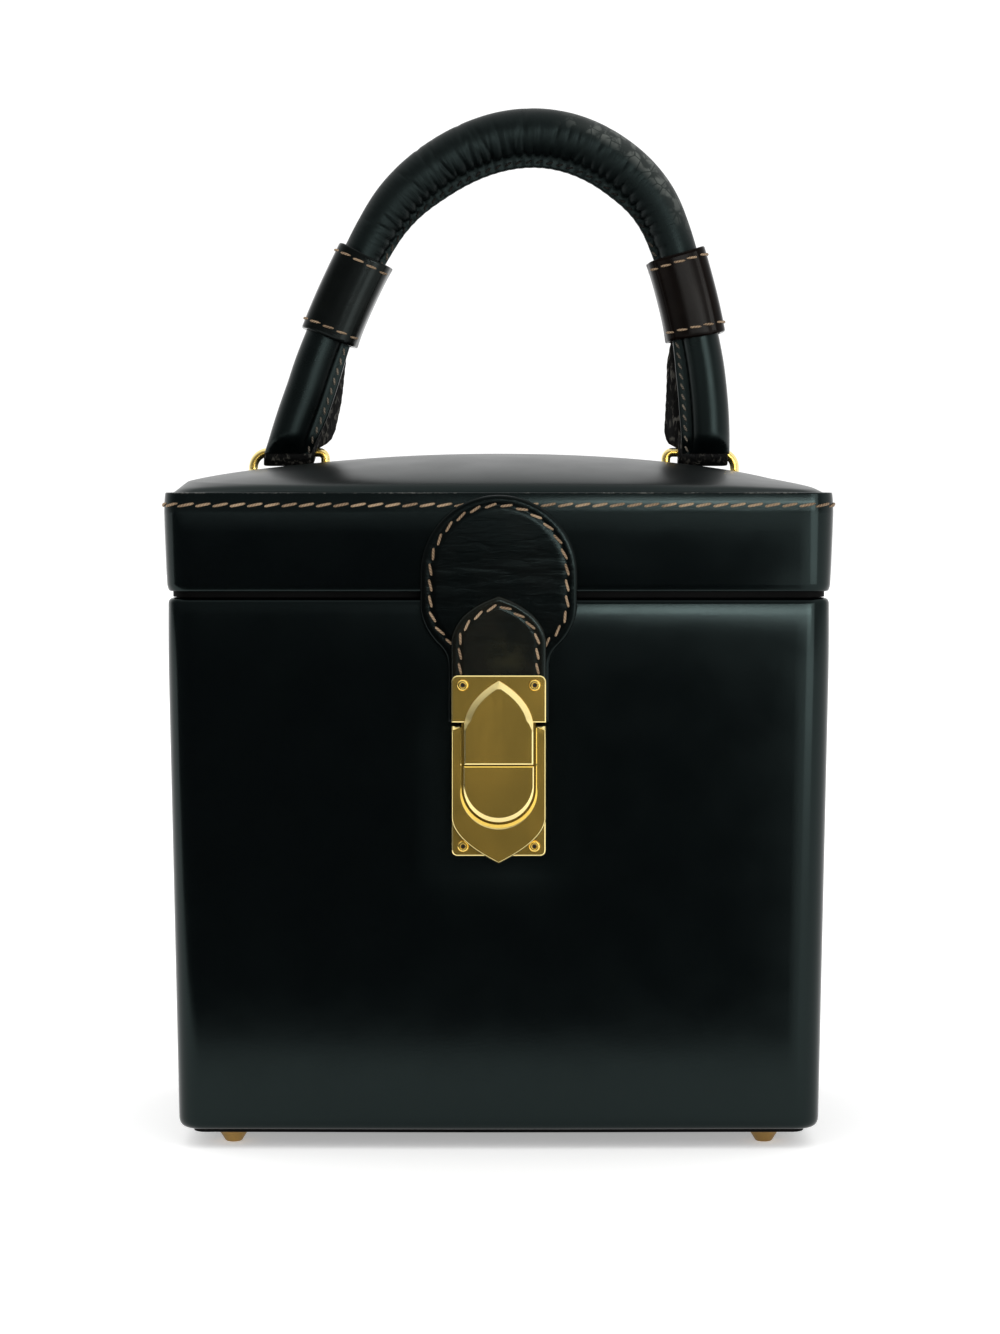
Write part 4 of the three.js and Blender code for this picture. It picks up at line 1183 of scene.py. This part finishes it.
def angle_at(height):
    """The angle at which the left leg's middle is at a height."""
    return np.arcsin((height - GRIP_BASE) / GRIP_RISE)


def closed_ends(grid):
    """The grid with one more row at each end, all of it at the middle of the row beside it."""
    ends = [np.repeat(grid[[end]].mean(1, keepdims=True), grid.shape[1], 1) for end in (0, -1)]
    return np.concatenate([ends[0], grid, ends[1]])


GRIP_START = angle_at(GRIP_END)
grip_angle = np.linspace(GRIP_START, np.pi - GRIP_START, GRIP_ROWS)
grip_steps = np.linalg.norm(np.diff(grip_line(grip_angle), axis=0), axis=1)
grip_run = np.concatenate([[0], np.cumsum(grip_steps)])
rise = np.sin(grip_angle)
eased = rise[:, None] + np.linspace(-SECTION_EASE, SECTION_EASE, 9)
radius, front, back, seam, set_out, set_back = [
    np.interp(eased, GRIP_SECTIONS[:, 0], column).mean(1, keepdims=True) for column in GRIP_SECTIONS.T[1:]
]
seam_back = np.maximum(back, SEAM_LEAST)

seam_angle = np.arcsin(SEAM_HALF / SEAM_START)
roll_angle = np.linspace(-np.pi + seam_angle, np.pi - seam_angle, 77)
to_seam = np.pi - seam_angle - np.abs(roll_angle)
on_the_arch = np.clip((rise - ARCH_START[0]) / ARCH_START[1], 0, 1)[:, None]
phase = np.pi * grip_run[:, None] / GATHER_PITCH
gather = np.abs(np.sin(phase + GATHER_DRIFT[0] * np.sin(GATHER_DRIFT[1] * phase))) ** GATHER_ROUND
near_seam = np.exp(-((to_seam / GATHER_REACH) ** 2))
puckers = GATHER_DEPTH * on_the_arch * near_seam * (gather - GATHER_MEAN)

draw = np.random.default_rng(7)
crease_run = draw.normal(0.46, 0.13, CREASE_COUNT) * grip_run[-1]
crease_depth = draw.uniform(0.05, 0.3, CREASE_COUNT)
crease_width = draw.uniform(0.4, 1.0, CREASE_COUNT)
crease_middle = draw.choice([-1, 1], CREASE_COUNT) * draw.uniform(0.7, 2.7, CREASE_COUNT)
crease_reach = draw.uniform(0.4, 1.0, CREASE_COUNT)
crease_slant = draw.uniform(-1.6, 1.6, CREASE_COUNT)
creases = np.zeros((GRIP_ROWS, len(roll_angle)))
for run, depth, width, middle, reach, slant in zip(
        crease_run, crease_depth, crease_width, crease_middle, crease_reach, crease_slant):
    across = grip_run[:, None] - run - slant * (roll_angle - middle)
    fade = np.exp(-(((roll_angle - middle) / reach) ** 2))
    creases += depth * fade * np.exp(-((across / width) ** 2))
swollen = radius + puckers - creases * on_the_arch
roll_out = swollen * np.cos(roll_angle)
roll_front = swollen * np.sin(roll_angle) * np.where(roll_angle > 0, front, back)

fin_ripple = FIN_RIPPLE * on_the_arch * np.sin(2 * phase)
fin_depth = np.where(FIN_SHAPE[:, 1] > 0, front, seam_back)
fin_out = -(radius + seam * FIN_SHAPE[:, 0]) + 0.25 * fin_ripple
fin_front = SEAM_HALF * FIN_SHAPE[:, 1] * fin_depth + fin_ripple
ring_out = np.concatenate([roll_out, fin_out, roll_out[:, :1]], 1)
ring_front = np.concatenate([roll_front, fin_front, roll_front[:, :1]], 1)
grip_rings = grip_place(grip_angle[:, None], ring_out + set_out, ring_front - set_back)
grip_grid = closed_ends(grip_rings)
along = np.concatenate([grip_run[:1], grip_run, grip_run[-1:]])
around = np.linspace(0, 1, grip_grid.shape[1]) * ROLL_LENGTH
grip_maps = np.stack(np.broadcast_arrays(along[:, None], around), -1)


def grip_finish(name, black, gloss):
    """Rolled calf: fine creases that run across the roll, by the piece's own UVs in millimetres, on pores and
    a gloss that wanders, with a patch at the right shoulder that hands have rubbed and cracked, whose pale
    grey is partly wear and partly a painted sheen."""
    material, place = new_material(name)
    pair = place.node("TexCoord", {}, {}, "UV")
    run, turn = pair.axis("X"), pair.axis("Y")
    folds = pair.stretched(1.0, 0.16, 1.0).noise(0.8, 5.0, 0.4)
    cloud = place.noise(90.0, 5.0)
    pores = place.node("TexVoronoi", {}, {"Vector": place, "Scale": 1900.0}, "Distance")
    rubbed = run.between(*RUBBED_RUN[:2]) * (1 - run.between(*RUBBED_RUN[2:]))
    rubbed = rubbed * turn.between(*RUBBED_ROUND[:2]) * (1 - turn.between(*RUBBED_ROUND[2:]))
    cells = {"Vector": pair, "Scale": 0.34, "Randomness": 1.0}
    cracks = place.node("TexVoronoi", {"feature": "DISTANCE_TO_EDGE"}, cells, "Distance")
    flakes = pair.noise(0.3, 5.0, 0.5)
    # The patch's pale grey is rubbed, cracked wear and, in part, a painted sheen.
    pale_mark = rubbed * (flakes.between(0.42, 0.58) * cracks.between(0.01, 0.09) * 0.78 + 0.22)
    colour = pale_mark.mix(cloud.between(0.3, 0.7).mix(black, toned(black, 1.7)), RUBBED_GREY_AND_SHEEN)
    bent = (place.axis("Z") * (1 / MM)).between(*BENT_HEIGHTS)
    rough = cloud * 0.1 + folds * 0.05 + bent * 0.18 + gloss
    relief = folds.between(0.3, 0.75) * bent * 0.06 + pores * 0.005 + cloud * (0.01 + bent * 0.03)
    bump = relief.bump()
    close_material(
        place, Base_Color=colour, Roughness=rough, Normal=bump, IOR=GRIP_IOR, Specular_Tint=LEATHER_TINT)
    return material


grip_calf = grip_finish("grip_calf", (0.0008, 0.0012, 0.0013), 0.21)
grip_leather = surface_piece("grip_leather", [grip_grid], grip_calf, [grip_maps])
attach(grip_leather, "handle")
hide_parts("handle_grip")

# Grip stitching
# Short close stitches through the seam, on both of its faces, in the same linen thread. Hands have turned it
# grey on the legs and black on the arch.

GRIP_THREAD = 0.3
GRIP_STITCH_PITCH = 3.0
GRIP_STITCH_LENGTH = 2.3
GRIP_STITCH_SLANT = 24.0
GRIP_STITCH_AT = (0.55, 0.78)  # share of the seam's height, and of its half thickness
SOILED_ABOVE = 250.0  # height from which hands have blackened the thread

# Its darker colour is painted shade between the strands as well as soil.
worn_thread = thread_finish("worn_thread", (0.26, 0.22, 0.17), (0.06, 0.05, 0.04), SOILED_ABOVE)
seam_grids, seam_maps = [], []
for side, share in ((1, front), (-1, seam_back)):
    out = set_out - radius - GRIP_STITCH_AT[0] * seam
    forward = side * SEAM_HALF * GRIP_STITCH_AT[1] * share - set_back
    path = grip_place(grip_angle[:, None], out, forward)[:, 0]
    face = np.tile([0.0, -float(side), 0.0], (GRIP_ROWS, 1))
    slant = GRIP_STITCH_SLANT * side
    grid, pairs = stitch_grids(path, face, GRIP_STITCH_PITCH, GRIP_STITCH_LENGTH, slant, GRIP_THREAD)
    seam_grids.append(grid)
    seam_maps.append(pairs)
grip_stitches = surface_piece("grip_stitches", seam_grids, worn_thread, seam_maps)
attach(grip_stitches, "handle")

# Slings
# The flattened ends of the roll: each goes down in front of its bar, round under it and up behind the leg
# into the collar. The flesh side is rough, and the edges are cut raw.

SLING_THICK = 2.4
SLING_TUCK = 5.0
SLING_GAP = 0.3  # between the wire and the strap round it
SLING_START = 0.4  # height above the bar at which the half turn ends
SLING_RAGGED = 0.05
SLING_SPANS = np.array([  # height above the bar, half width, and how far inside the leg, left and right
    (1.2, 7.2, 1.2, 1.2),
    (2.4, 7.2, 3.2, 3.6),
    (4.0, 6.8, 4.6, 5.0),
    (6.5, 6.6, 5.0, 5.6),
    (14.0, 6.0, 4.6, 5.4),
    (26.0, 5.6, 2.4, 4.2),
    (33.0, 5.0, 1.4, 2.4),
    (42.0, 4.6, 0.9, 0.9),
])
STRAP_SECTION = bend_corners([  # across and through the strap, in halves, and rounding
    (0, -1, 0),
    (1, -1, 0.3),
    (1, 1, 0.3),
    (-1, 1, 0.3),
    (-1, -1, 0.3),
    (0, -1, 0),
], 5)


def sling_grid(side):
    """A strap along a U in the YZ plane: down, half a turn under the bar and up again. Its section is a flat
    rounded band, as wide as the table says at each height, that follows the line of the leg."""
    turn = WIRE + SLING_GAP + SLING_THICK / 2
    half_turn = np.linspace(0, np.pi, 25)
    down = np.linspace(SLING_TUCK, SLING_START, 8)
    up = np.linspace(SLING_START, SLING_SPANS[-1, 0], 60)
    y = np.concatenate([0 * down - turn, -turn * np.cos(half_turn), 0 * up + turn])
    z = np.concatenate([down, -turn * np.sin(half_turn), up])
    above = np.where(y > 0, np.maximum(z, 0), 0)
    half = np.interp(above, SLING_SPANS[:, 0], SLING_SPANS[:, 1])
    inwards = np.interp(above, SLING_SPANS[:, 0], SLING_SPANS[:, 2 if side < 0 else 3])
    level = np.maximum(BAR_Z + z, GRIP_BASE)
    leg = grip_line(angle_at(level) if side < 0 else np.pi - angle_at(level))[:, 0]
    way = unit(np.gradient(np.stack([y, z], 1), axis=0))
    across = (leg - side * inwards)[:, None] + half[:, None] * STRAP_SECTION[:, 0]
    ragged = SLING_RAGGED * np.sin(z[:, None] * 2.3 + side) * STRAP_SECTION[:, 0]
    thick = SLING_THICK / 2 * STRAP_SECTION[:, 1]
    return closed_ends(np.stack([
        across + ragged,
        BAR_Y + y[:, None] - way[:, 1:] * thick,
        BAR_Z + z[:, None] + way[:, :1] * thick,
    ], -1))


def raw_finish(name, black, fluff):
    """The flesh side of the calf: dull and black, with pale fibres that stand up in specks and short
    streaks."""
    material, place = new_material(name)
    fibres = place.stretched(1.0, 1.0, 0.35).noise(900.0, 4.0, 0.8)
    patches = place.noise(160.0, 3.0)
    standing = fibres.between(0.5, 0.64) * patches.between(0.36, 0.56)
    colour = standing.mix(black, fluff)
    rough = 0.6 - standing * 0.1
    close_material(place, Base_Color=colour, Roughness=rough, Normal=(fibres * 0.25).bump(), IOR=1.3)
    return material


strap_calf = raw_finish("strap_calf", (0.0012, 0.0012, 0.001), (0.1, 0.095, 0.08))
for side, name in ((-1, "left"), (1, "right")):
    sling = surface_piece("sling_" + name, [sling_grid(side)], strap_calf, sharp=55)
    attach(sling, "handle")
    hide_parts("handle_sling_" + name)

# Collars
# A wrap of stiff calf round each leg and the strap behind it, black on the left and browner on the right.
# Its two ends meet on the inside of the arch, and a row of tan stitches runs round it near each edge.

COLLAR_LOW, COLLAR_HIGH = 226.3, 250.1
COLLAR_HALF = 8.4
COLLAR_SQUARE = 3.0
COLLAR_OFFSET = -0.8
COLLAR_WALL = 1.5
COLLAR_ROWS = 46
COLLAR_WAVE = 0.006  # share of the length by which the edges wave
COLLAR_THREAD = 0.34
COLLAR_STITCH_INSET = 2.6
COLLAR_STITCH_PITCH = 4.3
COLLAR_STITCH_LENGTH = 3.7
COLLAR_STITCH_SLANT = 6.0
COLLAR_STITCH_END = 0.86 * np.pi
LIP_REACH = 0.4  # how far the joined ends stick out at the collar's edges
LIP_WIDTH = 0.2
OVERLAP_STEP = 0.5  # thickness of the wrap's overlapping end on the right collar
OVERLAP_END = 0.95  # angle of that end, in radians from the outside
OVERLAP_EDGE = 0.02  # and how soon it steps down, in radians
COLLAR_RUB = ((-40.0, 232.0), 9.0)  # place of the rubbed patch on the left collar, and its reach
COLLAR_GRAIN = 0.2
COLLAR_GLOSS = 0.17
COLLAR_CALF = {  # two colours and the rubbed one, index of refraction and tint of the gloss
    "left": (
        "black_collar_calf",
        [(0.0014, 0.0017, 0.0016), (0.0026, 0.0032, 0.003), (0.005, 0.005, 0.0045)],
        1.23,
        (0.84, 1.0, 0.97, 1),
    ),
    "right": (
        "brown_collar_calf",
        [(0.0026, 0.0016, 0.0013), (0.005, 0.0032, 0.0026), (0.007, 0.005, 0.004)],
        1.13,
        (1.0, 0.99, 0.95, 1),
    ),
}


def collar_section(side, angle, share, wall):
    """A section of a collar, (out of the arch, to the front): a rounded square |c|^n + |s|^n = 1, its inner
    side pulled out to a thin lip, longest at the collar's two edges. On the right its end overlaps in a
    step."""
    c, s = np.cos(angle), np.sin(angle)
    square = (np.abs(c) ** COLLAR_SQUARE + np.abs(s) ** COLLAR_SQUARE) ** (1 / COLLAR_SQUARE)
    from_inside = (np.pi - np.abs(angle)) / LIP_WIDTH
    lip = LIP_REACH * (0.25 + 0.75 * (2 * share - 1) ** 4) * np.exp(-(from_inside**2))
    overlap = OVERLAP_STEP * (side > 0) / (1 + np.exp((np.abs(angle) - OVERLAP_END) / OVERLAP_EDGE))
    reach = (COLLAR_HALF - wall + overlap) / square + lip * (wall < COLLAR_WALL / 2)
    return COLLAR_OFFSET + reach * c, COLLAR_OFFSET + reach * s


def collar_span(side):
    """The angles along the grip where a collar starts and ends, from its lower edge."""
    low, high = angle_at(COLLAR_LOW), angle_at(COLLAR_HIGH)
    return (low, high) if side < 0 else (np.pi - low, np.pi - high)


def collar_grid(side):
    """A sleeve: rows run up the outside, over the upper edge, down the inside and over the lower edge."""
    start, end = collar_span(side)
    share = np.concatenate([[0, 0.004], np.linspace(0.02, 0.98, COLLAR_ROWS), [0.996, 1, 1, 0, 0]])
    wall = np.concatenate([[0.5, 0.15], np.zeros(COLLAR_ROWS), [0.15, 0.5, COLLAR_WALL, COLLAR_WALL, 0.5]])
    around = np.linspace(-np.pi, np.pi, 121)
    out, forward = collar_section(side, around[None], share[:, None], wall[:, None])
    wave = COLLAR_WAVE * np.sin(3 * around + side) * np.abs(2 * share[:, None] - 1) ** 6
    along = start + (end - start) * (share[:, None] + wave)
    return grip_place(along, out, forward)


for side, name in ((-1, "left"), (1, "right")):
    calf_name, colours, ior, tint = COLLAR_CALF[name]
    collar_calf = tab_finish(calf_name, colours, *COLLAR_RUB, COLLAR_GRAIN, COLLAR_GLOSS, ior, tint)
    collar = surface_piece("collar_" + name, [collar_grid(side)], collar_calf, sharp=60)
    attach(collar, "handle")
    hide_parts("handle_collar_" + name)
    start, end = collar_span(side)
    inset = COLLAR_STITCH_INSET / np.linalg.norm(grip_line(start) - grip_line(end))
    around = np.linspace(-COLLAR_STITCH_END, COLLAR_STITCH_END, 160)
    slant = -COLLAR_STITCH_SLANT * side
    row_grids, row_maps = [], []
    for share in (inset, 1 - inset):
        out, forward = collar_section(side, around, np.array(share), 0.0)
        angle = start + (end - start) * share
        path = grip_place(angle + 0 * around, out, forward)
        face = path - grip_place(np.array([angle]), np.zeros(1), np.zeros(1))
        grid, pairs = stitch_grids(
            path, face, COLLAR_STITCH_PITCH, COLLAR_STITCH_LENGTH, slant, COLLAR_THREAD)
        row_grids.append(grid)
        row_maps.append(pairs)
    collar_stitches = surface_piece("collar_stitches_" + name, row_grids, tan_thread, row_maps)
    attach(collar_stitches, "handle")

# Studio
# A pale glowing floor under a bright sky. The room behind the camera is dim, with a window on the right, a
# dark card in front of the bag and a lighter one before the lock. A soft lamp on the right adds highlights.

IMAGE_LONG = 1334.0  # the picture is 1000 by 1334
FOCAL = 3476.0  # in pixels
CAMERA_AT = (0.35, -1009.0, 184.0)
CAMERA_TILT = 3.025  # degrees below level
SENSOR = 36.0
FLOOR = [(-6000, -6000, 0), (6000, -6000, 0), (6000, 6000, 0), (-6000, 6000, 0)]
CARD = [
    (-900, -195, 1),
    (98, -195, 1),
    (98, -195, 104),
    (90, -195, 138),
    (98, -195, 146),
    (98, -195, 161),
    (0, -195, 166),
    (-900, -195, 172),
]
LOCK_CARD = [(-21, -194, 48), (21, -194, 48), (21, -194, 127), (-21, -194, 127)]
WINDOW = [(60, -1600, 300), (900, -1600, 300), (900, -1600, 430), (60, -1600, 430)]
WINDOW_GLOW = 13.0
FLOOR_GLOW = 0.35
SKY = 1.12
DIM_ROOM = 0.24  # the sky's strength where it is mirrored from behind the camera
LAMP_AT = (500, -900, 230)
LAMP_TARGET = (0, 0, 200)
LAMP_SIZE = 520
LAMP_POWER = 2.2


def stage_plane(name, corners, colour, glow=0.0):
    """A flat card or floor of the studio, a little mottled, that may glow."""
    material, place = new_material(name)
    mottle = place.noise(3.0, 2.0)
    colour = mottle.mix(colour, toned(colour, 0.97))
    close_material(
        place, Base_Color=colour, Roughness=0.9, Emission_Color=(1, 1, 1, 1), Emission_Strength=glow)
    mesh = bpy.data.meshes.new(name)
    mesh.from_pydata(np.array(corners) * MM, [], [range(len(corners))])
    mesh.materials.append(material)
    plane = bpy.data.objects.new(name, mesh)
    bpy.context.scene.collection.objects.link(plane)
    return plane


stage_plane("floor", FLOOR, (0.95, 0.95, 0.945), FLOOR_GLOW)
front_card = stage_plane("front_card", CARD, (0.06, 0.06, 0.06))
lock_card = stage_plane("lock_card", LOCK_CARD, (0.16, 0.16, 0.16))
window = stage_plane("window", WINDOW, (0.1, 0.1, 0.1), WINDOW_GLOW)
for card in (front_card, lock_card, window):
    card.visible_camera = False
    card.visible_diffuse = False
    card.visible_shadow = False

soft_box = bpy.data.lights.new("right_lamp", "AREA")
soft_box.shape = "RECTANGLE"
soft_box.size = LAMP_SIZE * MM
soft_box.size_y = LAMP_SIZE * MM
soft_box.energy = LAMP_POWER
right_lamp = bpy.data.objects.new("right_lamp", soft_box)
right_lamp.location = np.array(LAMP_AT) * MM
lamp_way = Vector(np.subtract(LAMP_TARGET, LAMP_AT) * MM)
right_lamp.rotation_euler = lamp_way.to_track_quat("-Z", "Y").to_euler()
right_lamp.visible_diffuse = False
bpy.context.scene.collection.objects.link(right_lamp)

sky = bpy.data.worlds.new("studio_sky")
sky.use_nodes = True
sky.node_tree.nodes.clear()
start = Shade(sky.node_tree)
mirrored_ray = start.node("LightPath", {}, {}, "Is Glossy Ray")
way = start.node("TexCoord", {}, {}, "Object")
right, ahead, up = [way.axis(letter) for letter in "XYZ"]
lit = (ahead + up * 0.6 + right * 0.4).between(-0.7, 0.35)
dimmed = mirrored_ray * (1 - lit) * (SKY - DIM_ROOM)
dome = start.node("Background", {}, {"Color": (1, 1, 1, 1), "Strength": SKY - dimmed})
start.node("OutputWorld", {}, {"Surface": dome})
bpy.context.scene.world = sky
bpy.context.scene.view_settings.view_transform = "Standard"

camera = bpy.data.objects.new("camera", bpy.data.cameras.new("camera"))
bpy.context.scene.collection.objects.link(camera)
camera.data.sensor_width = SENSOR
camera.data.lens = FOCAL / IMAGE_LONG * SENSOR
camera.location = np.array(CAMERA_AT) * MM
camera.rotation_euler = (np.pi / 2 - np.radians(CAMERA_TILT), 0, 0)
bpy.context.scene.camera = camera
